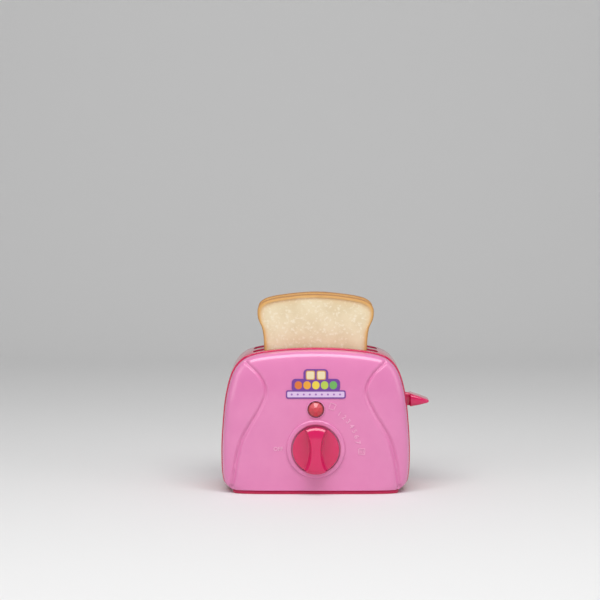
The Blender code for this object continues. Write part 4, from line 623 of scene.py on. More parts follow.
# Rear shell. The same pink moulding turned round, without the openings for knob and lens. Its
# four wells let the long screws through to the front shell, and it closes on the frame's edge.

WELL_BOSS, WELL_FLOOR = 0.0038, 0.0036
adds, holes = base_bosses(1)
for x, z in SHELL_SCREWS:
    adds.append(rod(WELL_BOSS, SEAM, boss_end(x, z, WELL_BOSS), (x, 0, z)))
    holes.append(rod(SCREW_HOLE, SEAM - PAST, FACE, (x, 0, z), sides=16))
    holes.append(rod(HEAD_WELL, SEAM + WELL_FLOOR, FACE + PAST, (x, 0, z), sides=40))
rear = moulded(closed_dish(1, 560, 128), adds, holes)
dressed("rear_shell_moulding", rear, 38, PINK_PLASTIC, "housing", "pink_plastic", "rear_shell")


# Dial marks. They are sunk into the front shell's mould, so they stand up from its face in the
# same pink, painted a lighter pink here as a highlight on their fine edges: numbers from 1 to 7
# round the knob, a plain slice at each end, and OFF at the left.

DIAL_RADIUS, DIAL_START, DIAL_STEP = 0.0283, 33.5, 7.9
ICON_RADIUS, ICON_HALF, ICON_LINE = 0.0306, 0.0023, 0.0005
BAR_STEP, BAR_HALF_LENGTH, BAR_HALF_WIDTH = 0.0011, 0.0012, 0.0002
MARK_HEIGHT, MARK_ROOT, MARK_BEVEL = 0.0003, -0.0003, 0.0001
SLICE = (
    (0.862, 0.0), (0.885, 0.025), (0.883, 0.55), (0.912, 0.70), (0.988, 0.80), (0.980, 0.893),
    (0.840, 0.947), (0.45, 0.984), (0.0, 1.0),
)


def on_dial(radius, degrees):
    """A place on the dial, clockwise from the top, in x and z."""
    angle = math.radians(degrees)
    return radius * math.sin(angle), KNOB_Z + radius * math.cos(angle)


def stand_on_face(mesh, x, z, degrees):
    """Stand a mesh drawn in x and y, with its height along z, on the front shell's face."""
    lift = Matrix.Rotation(math.pi / 2, 4, "X")
    turn = Matrix.Rotation(math.radians(degrees), 4, "Y")
    mesh.transform(Matrix.Translation((x, -(SEAM + face_depth(x, z)), z)) @ turn @ lift)
    return mesh


def raised_letters(text, size, x, z, degrees):
    """Letters or numbers as a mesh on the front shell's face."""
    curve = bpy.data.curves.new("mark", "FONT")
    curve.body = text
    curve.size = size
    curve.align_x, curve.align_y = "CENTER", "CENTER"
    curve.extrude = MARK_HEIGHT - MARK_BEVEL
    curve.bevel_depth = MARK_BEVEL
    curve.bevel_resolution = 1
    curve.resolution_u = 4
    return stand_on_face(applied(show("mark", curve)), x, z, degrees)


marks = [
    raised_letters(str(number), 0.0046, *on_dial(DIAL_RADIUS, turn), turn)
    for number, turn in ((k + 1, DIAL_START + DIAL_STEP * k) for k in range(7))
]
marks.append(raised_letters("OFF", 0.0036, -0.0250, KNOB_Z, 0.0))
for turn, bars in ((21.0, 0), (93.0, 3)):
    outline = mirrored(SLICE, ICON_HALF, -ICON_HALF, 2 * ICON_HALF, 3)
    within = inset(outline, ICON_LINE)
    icon = [stack([
        [(x, y, height) for x, y in drawn] for drawn, height in (
            (outline, MARK_ROOT), (outline, MARK_HEIGHT), (within, MARK_HEIGHT), (within, MARK_ROOT),
        )
    ], closed=True)]
    for k in range(bars):
        y = BAR_STEP * (k - 1)
        icon.append(brick((-BAR_HALF_LENGTH, y - BAR_HALF_WIDTH, MARK_ROOT),
                          (BAR_HALF_LENGTH, y + BAR_HALF_WIDTH, MARK_HEIGHT)))
    marks += [stand_on_face(mesh, *on_dial(ICON_RADIUS, turn), turn) for mesh in icon]
# Painted highlight: the marks are a lighter pink than the face, standing for the light on their fine edges.
HIGHLIT_MARK_PINK = plastic("highlit_mark_pink_plastic", (0.900, 0.420, 0.640), (0.860, 0.360, 0.590), 0.16, 0.22)
dressed("dial_marks", cleaned(*marks, weld=0.000001), 32, HIGHLIT_MARK_PINK, "housing", "pink_plastic")


# Centre frame. A magenta band between the two shells, which carries the bread slots with their
# collar, the slot for the lever and the lugs for the long screws. It stands a little proud.

FRAME_PROUD, FRAME_WALL, FRAME_HALF_DEPTH = 0.0010, 0.0022, 0.0200
SLOT_CENTRE, SLOT_HALF_LENGTH, SLOT_HALF_WIDTH = 0.0100, 0.0420, 0.0054
SLOT_CORNER, MOUTH_ROUND = 0.0025, 0.0006
GUIDE_BOTTOM, GUIDE_HALF_LENGTH, GUIDE_HALF_DEPTH = 0.0780, 0.0436, 0.0170
ROD_X, ROD_HOLE, ROD_HOLE_DEPTH = 0.0410, 0.0018, 0.0060
LUG_HALF, LUG_END, CUT_HALF_DEPTH = 0.0040, 0.0192, 0.0210
LEVER_SLOT_HALF, LEVER_SLOT_LOW, LEVER_SLOT_HIGH = 0.0036, 0.0266, 0.0654
MAGENTA_PLASTIC = plastic("magenta_gloss_plastic", (0.620, 0.006, 0.090), (0.580, 0.003, 0.080), 0.20, 0.23)


def rounded_rectangle(x_low, y_low, x_high, y_high, radius, steps=8):
    """A rectangle's outline with round corners, counter-clockwise."""
    points = []
    centres = (
        (x_high - radius, y_high - radius, 0), (x_low + radius, y_high - radius, 1),
        (x_low + radius, y_low + radius, 2), (x_high - radius, y_low + radius, 3),
    )
    for cx, cy, quarter in centres:
        for k in range(steps + 1):
            angle = (quarter + k / steps) * math.pi / 2
            points.append((cx + radius * math.cos(angle), cy + radius * math.sin(angle)))
    return points


def rounded_where(mesh, test, width, steps=3):
    """Round the edges of a mesh whose two ends both pass a test."""
    mesh.attributes.new("bevel_weight_edge", "FLOAT", "EDGE")
    passes = [test(v.co) for v in mesh.vertices]
    weights = mesh.attributes["bevel_weight_edge"].data
    for edge in mesh.edges:
        if passes[edge.vertices[0]] and passes[edge.vertices[1]]:
            weights[edge.index].value = 1.0
    body = show("body", mesh)
    modifier = body.modifiers.new("round", "BEVEL")
    modifier.limit_method = "WEIGHT"
    modifier.width, modifier.segments = width, steps
    return applied(body)


outer, inner = arch(FRAME_PROUD), arch(FRAME_PROUD - FRAME_WALL)
hollow = [(inner[0][0], BODY_FOOT - PAST)] + inner + [(inner[-1][0], BODY_FOOT - PAST)]
guide = brick((-GUIDE_HALF_LENGTH, -GUIDE_HALF_DEPTH, GUIDE_BOTTOM),
              (GUIDE_HALF_LENGTH, GUIDE_HALF_DEPTH, BODY_TOP + PAST))
cavity = combine(slab(hollow, -CUT_HALF_DEPTH, CUT_HALF_DEPTH, axis="Y"), "DIFFERENCE", guide)
band = combine(slab(outer, -FRAME_HALF_DEPTH, FRAME_HALF_DEPTH, 0.0008, axis="Y"), "DIFFERENCE", cavity)
adds, holes = [], []
for x, z in SHELL_SCREWS:
    wall = half_width(z) + FRAME_PROUD - 0.5 * FRAME_WALL
    low_x, high_x = sorted((math.copysign(abs(x) - LUG_HALF, x), math.copysign(wall, x)))
    for side in (-1, 1):
        low_y, high_y = sorted((side * LUG_END, side * GUIDE_HALF_DEPTH))
        adds.append(brick((low_x, low_y, z - LUG_HALF), (high_x, high_y, z + LUG_HALF)))
    holes.append(rod(SCREW_HOLE, -CUT_HALF_DEPTH, CUT_HALF_DEPTH, (x, 0, z), sides=16))
for side in (-1, 1):
    middle = side * SLOT_CENTRE
    slot = rounded_rectangle(-SLOT_HALF_LENGTH, middle - SLOT_HALF_WIDTH, SLOT_HALF_LENGTH,
                             middle + SLOT_HALF_WIDTH, SLOT_CORNER)
    holes.append(slab(slot, GUIDE_BOTTOM - PAST, BODY_TOP + 0.0020))
    ends = GUIDE_BOTTOM - PAST, GUIDE_BOTTOM + ROD_HOLE_DEPTH
    holes.append(rod(ROD_HOLE, *ends, (side * ROD_X, 0, 0), "Z", 24))
lever_slot = rounded_rectangle(-LEVER_SLOT_HALF, LEVER_SLOT_LOW, LEVER_SLOT_HALF, LEVER_SLOT_HIGH, 0.0008, 3)
holes.append(stack([[(x, y, z) for y, z in lever_slot] for x in (0.0520, 0.0650)]))
band = moulded(band, adds, holes)
crown = [point for point in reversed(outer) if point[1] > 0.0700]
crown_x, crown_z = [point[0] for point in crown], [point[1] for point in crown]


def on_slot_mouth(point):
    """Whether a point lies on the outer edge of a bread slot."""
    if abs(point.x) > SLOT_HALF_LENGTH + 0.0001 or point.z < 0.0850:
        return False
    top = float(np.interp(point.x, crown_x, crown_z))
    reach = abs(abs(point.y) - SLOT_CENTRE)
    return abs(point.z - top) < 0.00004 and reach < SLOT_HALF_WIDTH + 0.0001


band = rounded_where(band, on_slot_mouth, MOUTH_ROUND)
dressed("centre_band", band, 30, MAGENTA_PLASTIC, "housing", "magenta_plastic", "centre_frame")


# Base plate and battery door. Both are magenta; the plate closes the foot with four screws and
# holds the battery box, and the door over the cells is held by its tongue and one small screw.

BOX_HALF_LENGTH, BOX_LOW_Y, BOX_HIGH_Y, BOX_TOP, BOX_WALL = 0.02535, 0.0064, 0.0288, 0.0128, 0.0014
BOX_ROOT, PLATE_THICKNESS = 0.0012, 0.0023
DOOR_THICKNESS, DOOR_SCREW = 0.0016, (0.02985, 0.0176)
DOOR_MARGIN, DOOR_TONGUE, DOOR_CORNER, DOOR_GAP = 0.0011, 0.0075, 0.0020, 0.0003
GROOVE_START, GROOVE_STEP, GROOVE_HALF, GROOVE_LOW, GROOVE_HIGH = -0.0215, 0.0019, 0.0004, 0.0116, 0.0236
CUP_OUTER, CUP_INNER, CUP_TOP, CUP_FLOOR = 0.0034, 0.0018, 0.0090, 0.0030
BASE_PLASTIC = plastic(
    "magenta_base_plastic", (0.600, 0.005, 0.085), (0.560, 0.003, 0.076), 0.32, 0.38, coat=0.1,
)


def footprint(draw_in, steps=20):
    """The body's outline at its foot, seen from above."""
    wide, deep = FOOT_HALF_WIDTH - draw_in, SHELL_DEPTH - draw_in
    quarter = []
    for k in range(steps + 1):
        angle = math.pi / 2 * k / steps
        x = wide * max(0.0, math.cos(angle)) ** (2 / EDGE_POWER) if k < steps else 0.0
        quarter.append((x, SEAM + deep * math.sin(angle) ** (2 / EDGE_POWER)))
    back = quarter + [(-x, y) for x, y in reversed(quarter[:-1])]
    return back + [(-x, -y) for x, y in back]


def door_outline(grow_by):
    """The battery door's outline with its tongue on the right."""
    reach = DOOR_MARGIN + grow_by
    return rounded_rectangle(-BOX_HALF_LENGTH - reach, BOX_LOW_Y - reach,
                             BOX_HALF_LENGTH + DOOR_TONGUE + grow_by, BOX_HIGH_Y + reach, DOOR_CORNER)


battery_box = brick(
    (-BOX_HALF_LENGTH - BOX_WALL, BOX_LOW_Y - BOX_WALL, BOX_ROOT),
    (BOX_HALF_LENGTH + BOX_WALL, BOX_HIGH_Y + BOX_WALL, BOX_TOP + BOX_WALL),
)
adds = [battery_box, rod(0.0030, BOX_ROOT, 0.0080, (*DOOR_SCREW, 0), "Z", 24)]
holes = [
    brick((-BOX_HALF_LENGTH, BOX_LOW_Y, -PAST), (BOX_HALF_LENGTH, BOX_HIGH_Y, BOX_TOP)),
    slab(door_outline(DOOR_GAP), -PAST, DOOR_THICKNESS + DOOR_GAP),
    rod(SCREW_HOLE, -PAST, 0.0066, (*DOOR_SCREW, 0), "Z", 16),
]
for hand in (-1, 1):
    cup = [(0, BOX_ROOT), (CUP_OUTER, BOX_ROOT), (CUP_OUTER, CUP_TOP), (CUP_INNER, CUP_TOP),
           (CUP_INNER, CUP_FLOOR), (0, CUP_FLOOR)]
    adds.append(turned(cup, (hand * ROD_X, 0, 0), "Z", 24))
    for side in (-1, 1):
        place = (hand * BASE_SCREW_X, side * BASE_SCREW_Y, 0)
        holes.append(rod(HEAD_WELL, -PAST, 0.0013, place, "Z"))
        holes.append(rod(SCREW_HOLE, -PAST, PLATE_THICKNESS + PAST, place, "Z", 16))
plate = moulded(slab(footprint(0.0010), 0.0, PLATE_THICKNESS, 0.0006), adds, holes)
dressed("base_moulding", plate, 30, BASE_PLASTIC, "housing", "magenta_plastic", "base_plate")

holes = [
    rod(HEAD_WELL, -PAST, 0.0010, (*DOOR_SCREW, 0), "Z"),
    rod(SCREW_HOLE, -PAST, DOOR_THICKNESS + PAST, (*DOOR_SCREW, 0), "Z", 16),
]
for k in range(5):
    x = GROOVE_START + GROOVE_STEP * k
    groove = rounded_rectangle(x - GROOVE_HALF, GROOVE_LOW, x + GROOVE_HALF, GROOVE_HIGH, GROOVE_HALF, 3)
    holes.append(slab(groove, -PAST, 0.0005))
door = combine(slab(door_outline(0.0), 0.0, DOOR_THICKNESS, 0.0003, 3), "DIFFERENCE", *holes)
dressed("battery_cover", door, 30, BASE_PLASTIC, "housing", "magenta_plastic", "battery_door")


# Screws. Small pan-head screws of plated steel with a cross recess: four long ones through the
# shells, four under the base, one in the battery door, four in the timer and two on the board.


def worn_metal():
    """Colour, roughness and height of plated or stamped metal: cloudy plating and fine scratches."""
    tree, ask = tree_with("worn_metal", "ShaderNodeTree", {
        "Colour": (0.5, 0.5, 0.5), "Dull": (0.4, 0.4, 0.4), "Smooth": 0.2, "Rough": 0.4,
    }, SURFACE)
    cloud = noise(tree, 350.0, 3.0)
    drawn = put(tree, "ShaderNodeMapping", {"Vector": place_in(tree), "Scale": (400.0, 400.0, 6000.0)})
    return deliver(
        tree, Colour=blended(tree, between(tree, cloud, 0.35, 0.70), ask["Dull"], ask["Colour"]),
        Roughness=between(tree, cloud, 0.3, 0.7, ask["Rough"], ask["Smooth"]),
        Height=noise(tree, 1.0, vector=drawn.outputs[0]),
    )


WORN_METAL = worn_metal()


def metal(name, colour, dull, smooth, rough):
    """A material of bare or plated metal."""
    material, tree, shader = plain_material(name)
    made = put(tree, "ShaderNodeGroup", {
        "Colour": colour, "Dull": dull, "Smooth": smooth, "Rough": rough,
    }, node_tree=WORN_METAL).outputs
    dress(shader, *made, strength=0.15, distance=0.00002, Metallic=1.0)
    return material


PLATED_STEEL = metal("plated_steel", (0.52, 0.53, 0.56), (0.40, 0.41, 0.43), 0.22, 0.38)


def screw_tree():
    """One screw on every point, each turned by its own amount about its axis."""
    tree, ask = shape_tree("screws_on_points", Screw="Object", Axis=(0.0, 1.0, 0.0), Seed=3)
    screw = put(tree, "GeometryNodeObjectInfo", {"Object": ask["Screw"]}).outputs["Geometry"]
    feeds = {2: 0.0, 3: 2 * math.pi, "Seed": ask["Seed"]}
    turn = put(tree, "FunctionNodeRandomValue", feeds, data_type="FLOAT")
    spin = put(tree, "ShaderNodeVectorMath", {0: ask["Axis"], "Scale": turn.outputs[1]}, operation="SCALE")
    placed = put(tree, "GeometryNodeInstanceOnPoints", {
        "Points": ask["Geometry"], "Instance": screw, "Rotation": spin.outputs[0],
    })
    return end_shape(tree, placed.outputs[0], ask["Finish"])


SCREWS = screw_tree()


def screw_mesh(axis, way, head_radius, head_height, radius, length):
    """One pan-head screw whose seat lies at the origin, with its head towards one way of an axis."""
    soft, thread, core = 0.45 * head_height, 0.5 * radius, 0.78 * radius
    profile = [(0, -length), (0.45 * radius, -length)]
    turns = int(min(length - 1.5 * thread, 0.012) / thread)
    for k in range(turns):
        low = -length + (k + 0.8) * thread
        profile += [(core, low), (radius, low + 0.5 * thread)]
    profile += [(core, -length + (turns + 0.8) * thread), (core, -0.0002), (radius, 0.0)]
    profile += [(head_radius - 0.3 * soft, 0.0), (head_radius, 0.3 * soft)]
    profile += [(head_radius, head_height - soft)]
    profile += rounded_corner((head_radius - soft, head_height - soft), soft, 15, 75, 3)
    profile += [(0.5 * head_radius, head_height), (0, head_height)]
    arm, wide, deep = 0.62 * head_radius, 0.13 * head_radius, 0.65 * head_height
    low, high = sorted((way * (head_height - deep), way * (head_height + 0.0005)))
    cross = []
    for a, b in ((arm, wide), (wide, arm)):
        corners = ((-a, low, -b), (a, high, b)) if axis == "Y" else ((-a, -b, low), (a, b, high))
        cross.append(brick(*corners))
    return combine(turned([(r, way * h) for r, h in profile], (0, 0, 0), axis, 24), "DIFFERENCE", *cross)


def screw_set(name, axis, way, places, sizes, seed, *replaced):
    """Screws of one kind as one piece."""
    master = show("screw", screw_mesh(axis, way, *sizes))
    points = bpy.data.meshes.new(name)
    points.from_pydata(places, [], [])
    direction = (0.0, 1.0, 0.0) if axis == "Y" else (0.0, 0.0, 1.0)
    mesh = grow(SCREWS, {"Screw": master, "Axis": direction, "Seed": seed, "Finish": PLATED_STEEL}, points)
    drop_objects(master)
    dressed(name, mesh, 35, PLATED_STEEL, "housing", "steel", *replaced)


def numbered(name):
    """The names of four nodes numbered from 1."""
    return [f"{name}_{k}" for k in range(1, 5)]


# Each screw's sizes: radius and height of its head, radius and length of its shank
screw_set("long_shell_screws", "Y", 1, [(x, 0.0242, z) for x, z in SHELL_SCREWS],
          (0.0025, 0.0018, 0.0012, 0.0515), 3, *numbered("shell_screw"))
screw_set("base_plate_screws", "Z", -1,
          [(a * BASE_SCREW_X, b * BASE_SCREW_Y, 0.0010) for a in (-1, 1) for b in (-1, 1)],
          (0.0025, 0.0008, 0.0012, 0.0080), 7, *numbered("base_screw"))
screw_set("battery_cover_screw", "Z", -1, [(*DOOR_SCREW, 0.0007)], (0.0025, 0.0005, 0.0012, 0.0050), 2,
          "door_screw")
screw_set("movement_screws", "Y", 1, [(x, -0.0179, z) for x, z in TIMER_PILLARS],
          (0.0019, 0.0010, 0.0009, 0.0149), 11, *numbered("timer_screw"))
screw_set("lamp_board_screws", "Y", 1, [(x, -0.0226, z) for x, z in BOARD_SCREWS],
          (0.0014, 0.0008, 0.0007, 0.0052), 5, "board_screw_left", "board_screw_right")


# Bread slices. Each is one solid moulding of matt toast-coloured plastic, with a browned crust
# round its edge, a face set slightly in from the crust, and a speckled crumb.

BREAD_HALF_WIDTH, BREAD_FOOT, BREAD_HEIGHT, BREAD_HALF_THICKNESS = 0.0392, 0.0543, 0.0774, 0.0042
CRUST_WIDTH, CRUST_STEP, CRUST_ROUND = 0.0017, 0.0005, 0.0012


def toast_material():
    """Speckled cream crumb that turns orange and then brown towards the crust."""
    material, tree, shader = plain_material("toast_plastic")
    baked = put(tree, "ShaderNodeAttribute", attribute_name="baked", attribute_type="GEOMETRY").outputs["Fac"]
    patches, crumbs = noise(tree, 95.0, 4.0), noise(tree, 620.0, 3.0)
    pores = put(tree, "ShaderNodeTexVoronoi", {"Vector": place_in(tree), "Scale": 520.0}).outputs["Distance"]
    crumb = blended(tree, between(tree, patches, 0.35, 0.65), (0.800, 0.690, 0.470), (0.740, 0.620, 0.400))
    crumb = blended(tree, between(tree, crumbs, 0.54, 0.68, 0.0, 0.60), crumb, (0.900, 0.830, 0.680))
    heat = reckon(tree, "ADD", baked, ("MULTIPLY", ("SUBTRACT", patches, 0.5), 0.25))
    warm = blended(tree, between(tree, heat, 0.05, 0.60), crumb, (0.700, 0.400, 0.130))
    crust = blended(tree, between(tree, heat, 0.55, 1.0), warm, (0.440, 0.185, 0.045))
    relief = reckon(tree, "ADD", ("MULTIPLY", between(tree, pores, 0.0, 0.35), 0.6), crumbs)
    dress(shader, crust, between(tree, crumbs, 0.3, 0.7, 0.62, 0.48), relief, 0.30, 0.0002)
    return material


TOAST = toast_material()


def shrunk(outline, distance):
    """An outline drawn in towards the slice's middle, so that its corners never fold over."""
    share = 1 - distance / BREAD_HALF_WIDTH
    middle = BREAD_FOOT + 0.5 * BREAD_HEIGHT
    return [(x * share, middle + (z - middle) * share) for x, z in outline]


def bread_slice(centre_y):
    """A slice whose crust stands up round its two faces, with how baked each point is."""
    outline = mirrored(SLICE, BREAD_HALF_WIDTH, BREAD_FOOT, BREAD_HEIGHT, 9)
    half = BREAD_HALF_THICKNESS
    rings = [
        (shrunk(outline, CRUST_WIDTH + more), half - sunk, baked) for more, sunk, baked in (
            (0.0110, CRUST_STEP, 0.0), (0.0052, CRUST_STEP, 0.03), (0.0021, CRUST_STEP, 0.15),
            (0.0007, CRUST_STEP, 0.32), (0.0003, 0.5 * CRUST_STEP, 0.42), (0.0, 0.0, 0.50),
        )
    ]
    for k in range(4):
        angle = math.radians(90 * k / 4)
        drawn = shrunk(outline, CRUST_ROUND * (1 - math.sin(angle)))
        rings.append((drawn, half - CRUST_ROUND * (1 - math.cos(angle)), 0.62 + 0.08 * k))
    rings.append((outline, half - CRUST_ROUND, 0.95))
    loops, heat = [], []
    for way in (-1, 1):
        for drawn, reach, baked in (rings if way < 0 else rings[::-1]):
            loops.append([(x, centre_y + way * reach, z) for x, z in drawn])
            heat += [baked] * len(outline)
    mesh = stack(loops)
    mesh.attributes.new("baked", "FLOAT", "POINT").data.foreach_set("value", heat)
    return mesh


for name, side, end in (("bread_slice_one", -1, "front"), ("bread_slice_two", 1, "rear")):
    dressed(name, bread_slice(side * SLOT_CENTRE), 40, TOAST, f"bread_{end}", "toast_plastic",
            f"bread_slice_{end}")


# Timer knob. A magenta moulding pressed onto the timer's steel shaft, with a grip bar across it
# that is narrow in the middle and flares to the rim, and a flat scoop on each side of the bar.

KNOB_RADIUS, KNOB_BACK, KNOB_FRONT, KNOB_DISC, KNOB_DOME = 0.0154, -0.0348, -0.0458, 0.0026, 0.0016
GRIP_HALF_WIDTH, GRIP_END_HALF_WIDTH, GRIP_FLANK, GRIP_FILLET = 0.0024, 0.0064, 0.0017, 0.0009


def grip_edge(z):
    """Half the grip bar's width at a height from the knob's centre."""
    return GRIP_HALF_WIDTH + (GRIP_END_HALF_WIDTH - GRIP_HALF_WIDTH) * (z / KNOB_RADIUS) ** 2


def grip_scoop(hand, steps=28):
    """What is taken away beside the grip bar."""
    front, floor, reach = KNOB_FRONT - KNOB_DOME - PAST, KNOB_BACK - KNOB_DISC, KNOB_RADIUS + PAST
    rings = []
    for k in range(steps + 1):
        z = (2 * k / steps - 1) * reach
        grip = grip_edge(z)
        section = [(grip, front), (reach, front), (reach, floor)]
        for j in range(5):
            angle = math.radians(90 * j / 4)
            section.append((
                grip + GRIP_FLANK + GRIP_FILLET * (1 - math.sin(angle)),
                floor - GRIP_FILLET * (1 - math.cos(angle)),
            ))
        rings.append([(hand * x, y, KNOB_Z + z) for x, y in section])
    return stack(rings)


def on_grip_rim(point):
    """Whether a point lies where the grip bar's top meets its flank."""
    if point.y > KNOB_FRONT + 0.0012:
        return False
    slope = GRIP_FLANK / (KNOB_DOME + PAST + (KNOB_BACK - KNOB_DISC - KNOB_FRONT))
    flank = grip_edge(point.z - KNOB_Z) + slope * (point.y - KNOB_FRONT + KNOB_DOME + PAST)
    return abs(abs(point.x) - flank) < 0.0004


profile = [(0, KNOB_BACK), (KNOB_RADIUS - 0.0003, KNOB_BACK), (KNOB_RADIUS, KNOB_BACK - 0.0003)]
dome = [
    (KNOB_RADIUS, KNOB_FRONT + KNOB_DOME), (0.9 * KNOB_RADIUS, KNOB_FRONT + 0.35 * KNOB_DOME),
    (0.7 * KNOB_RADIUS, KNOB_FRONT), (0.35 * KNOB_RADIUS, KNOB_FRONT - 0.00025),
    (0.0001, KNOB_FRONT - 0.0003),
]
profile += smooth_curve(dome, 5) + [(0, KNOB_FRONT - 0.0003)]
bore = rod(SHAFT_HOLE, KNOB_BACK - 0.0060, KNOB_BACK + PAST, (0, 0, KNOB_Z))
knob = turned(profile, (0, 0, KNOB_Z), sides=128)
knob = combine(knob, "DIFFERENCE", bore, grip_scoop(-1), grip_scoop(1))
KNOB_PLASTIC = plastic("magenta_knob_plastic", (0.700, 0.004, 0.115), (0.660, 0.003, 0.100), 0.18, 0.22)
dressed("grip_knob", rounded_where(knob, on_grip_rim, 0.0005), 30, KNOB_PLASTIC, "knob",
        "magenta_plastic", "timer_knob")


# Lever. A magenta wedge that the child presses down; its tongue passes the slot in the frame and
# is pushed over the peg on the carriage's arm.

LEVER_Z, LEVER_DROP = 0.0600, 0.0012
LEVER_NECK_X = BODY_HALF_WIDTH + FRAME_PROUD + 0.0007
# Along x: half the width, half the height and how much of the drop is reached
LEVER_STATIONS = (
    (0.0563, 0.0030, 0.0048, 0.0), (LEVER_NECK_X - 0.0004, 0.0030, 0.0044, 0.3),
    (LEVER_NECK_X, 0.0081, 0.0040, 0.4), (LEVER_NECK_X + 0.0004, 0.0085, 0.0044, 0.4),
    (0.06725, 0.0085, 0.0036, 0.55), (0.0704, 0.0084, 0.0028, 0.7), (0.0731, 0.0079, 0.0019, 0.88),
    (0.0758, 0.0070, 0.0011, 1.0), (0.0765, 0.0064, 0.0008, 1.0), (0.0768, 0.0058, 0.0003, 1.0),
)
rings = []
for x, wide, high, share in LEVER_STATIONS:
    section = rounded_rectangle(-wide, -high, wide, high, 0.6 * min(wide, high), 6)
    rings.append([(x, y, LEVER_Z - LEVER_DROP * share + z) for y, z in section])
lever = combine(stack(rings), "DIFFERENCE", rod(0.0016, 0.0553, 0.0653, (0, 0, 0.0585), "X", 24))
dressed("press_lever", lever, 40, KNOB_PLASTIC, "carriage", "magenta_plastic", "lever_knob")


# Lens. A clear red moulding pushed in from behind until its flange stops it; its front is cut like
# a gem with eight facets round a flat table, so that the lamp behind it glitters.


def red_glass():
    """Clear red plastic, with painted shade that darkens it towards its rim."""
    material, tree, shader = plain_material("clear_red_plastic")
    off_centre = place_in(tree)
    for operation, value in (("SUBTRACT", (0.0, 0.0, LENS_Z)), ("MULTIPLY", (1.0, 0.0, 1.0))):
        feeds = {0: off_centre, 1: value}
        off_centre = put(tree, "ShaderNodeVectorMath", feeds, operation=operation).outputs[0]
    radius = put(tree, "ShaderNodeVectorMath", {0: off_centre}, operation="LENGTH").outputs["Value"]
    cloud = noise(tree, 300.0)
    middle = blended(tree, cloud, (0.840, 0.035, 0.070), (0.760, 0.020, 0.050))
    # Painted shade: the colour turns a deep dark red towards the lens's rim.
    colour = blended(tree, between(tree, radius, 0.0041, 0.0051), middle, (0.200, 0.000, 0.012))
    dress(shader, colour, between(tree, cloud, 0.3, 0.7, 0.04, 0.10), cloud, 0.05, 0.00002,
          Transmission_Weight=0.25, Coat_Weight=0.8)
    return material


RED_GLASS = red_glass()
LENS_RADIUS, LENS_BACK, LENS_FRONT, LENS_ROUND = 0.0053, -0.0312, -0.0349, 0.0005
FLANGE_RADIUS, FLANGE_FRONT = 0.0063, -0.0320
GEM_RADIUS, TABLE_RADIUS, TABLE_FRONT = 0.0048, 0.0017, -0.03645
barrel = [(0, LENS_BACK), (FLANGE_RADIUS, LENS_BACK), (FLANGE_RADIUS, FLANGE_FRONT)]
barrel += [(LENS_RADIUS, FLANGE_FRONT), (LENS_RADIUS, LENS_FRONT + LENS_ROUND)]
barrel += rounded_corner((LENS_RADIUS - LENS_ROUND, LENS_FRONT + LENS_ROUND), LENS_ROUND, 0, -90)
barrel += [(0, LENS_FRONT)]
turns = [math.radians(22.5 + 45 * k) for k in range(8)]
gem = stack([
    [(radius * math.cos(a), y, LENS_Z + radius * math.sin(a)) for a in turns]
    for radius, y in ((GEM_RADIUS, -0.0340), (GEM_RADIUS, -0.0348), (TABLE_RADIUS, TABLE_FRONT))
])
lens = combine(turned(barrel, (0, 0, LENS_Z)), "UNION", gem)
dressed("gem_lens", lens, 20, RED_GLASS, "housing", "red_lens", "indicator_lens")


# Label. A printed label cut to its outline and stuck to the front shell, bent with its face: a
# long bar, a row of coloured spots above it and two plain slices on top, without any words.

LABEL_BLOCKS = (
    (-0.0198, 0.0644, 0.0198, 0.0699, 0.0014), (-0.0160, 0.0690, 0.0160, 0.0775, 0.0026),
    (-0.0082, 0.0758, 0.0082, 0.0839, 0.0026),
)
BAR_Z, SPOTS_Z, SLICES_Z = 0.06715, 0.0733, 0.0799
SPOT_STEP, DOT_STEP, SLICE_X = 0.0058, 0.0040, 0.0036


def patch_mask():
    """Where a point lies inside a rectangle with round corners, from 0 to 1."""
    tree, ask = tree_with("rounded_patch", "ShaderNodeTree", {
        "Centre X": 0.0, "Centre Z": 0.0, "Half width": 0.01, "Half height": 0.01, "Corner": 0.001,
        "Blur": 0.00008,
    }, {"Mask": "Float"})
    x, _, z = xyz(tree, place_in(tree))
    squares = []
    for spot, centre, half in ((x, "Centre X", "Half width"), (z, "Centre Z", "Half height")):
        away, core = ("ABSOLUTE", ("SUBTRACT", spot, ask[centre])), ("SUBTRACT", ask[half], ask["Corner"])
        outside = reckon(tree, "MAXIMUM", ("SUBTRACT", away, core), 0.0)
        squares.append(("MULTIPLY", outside, outside))
    reach = reckon(tree, "SQRT", ("ADD", *squares))
    low = reckon(tree, "SUBTRACT", ask["Corner"], ask["Blur"])
    return deliver(tree, Mask=between(tree, reach, low, ask["Corner"], 1.0, 0.0))


PATCH = patch_mask()


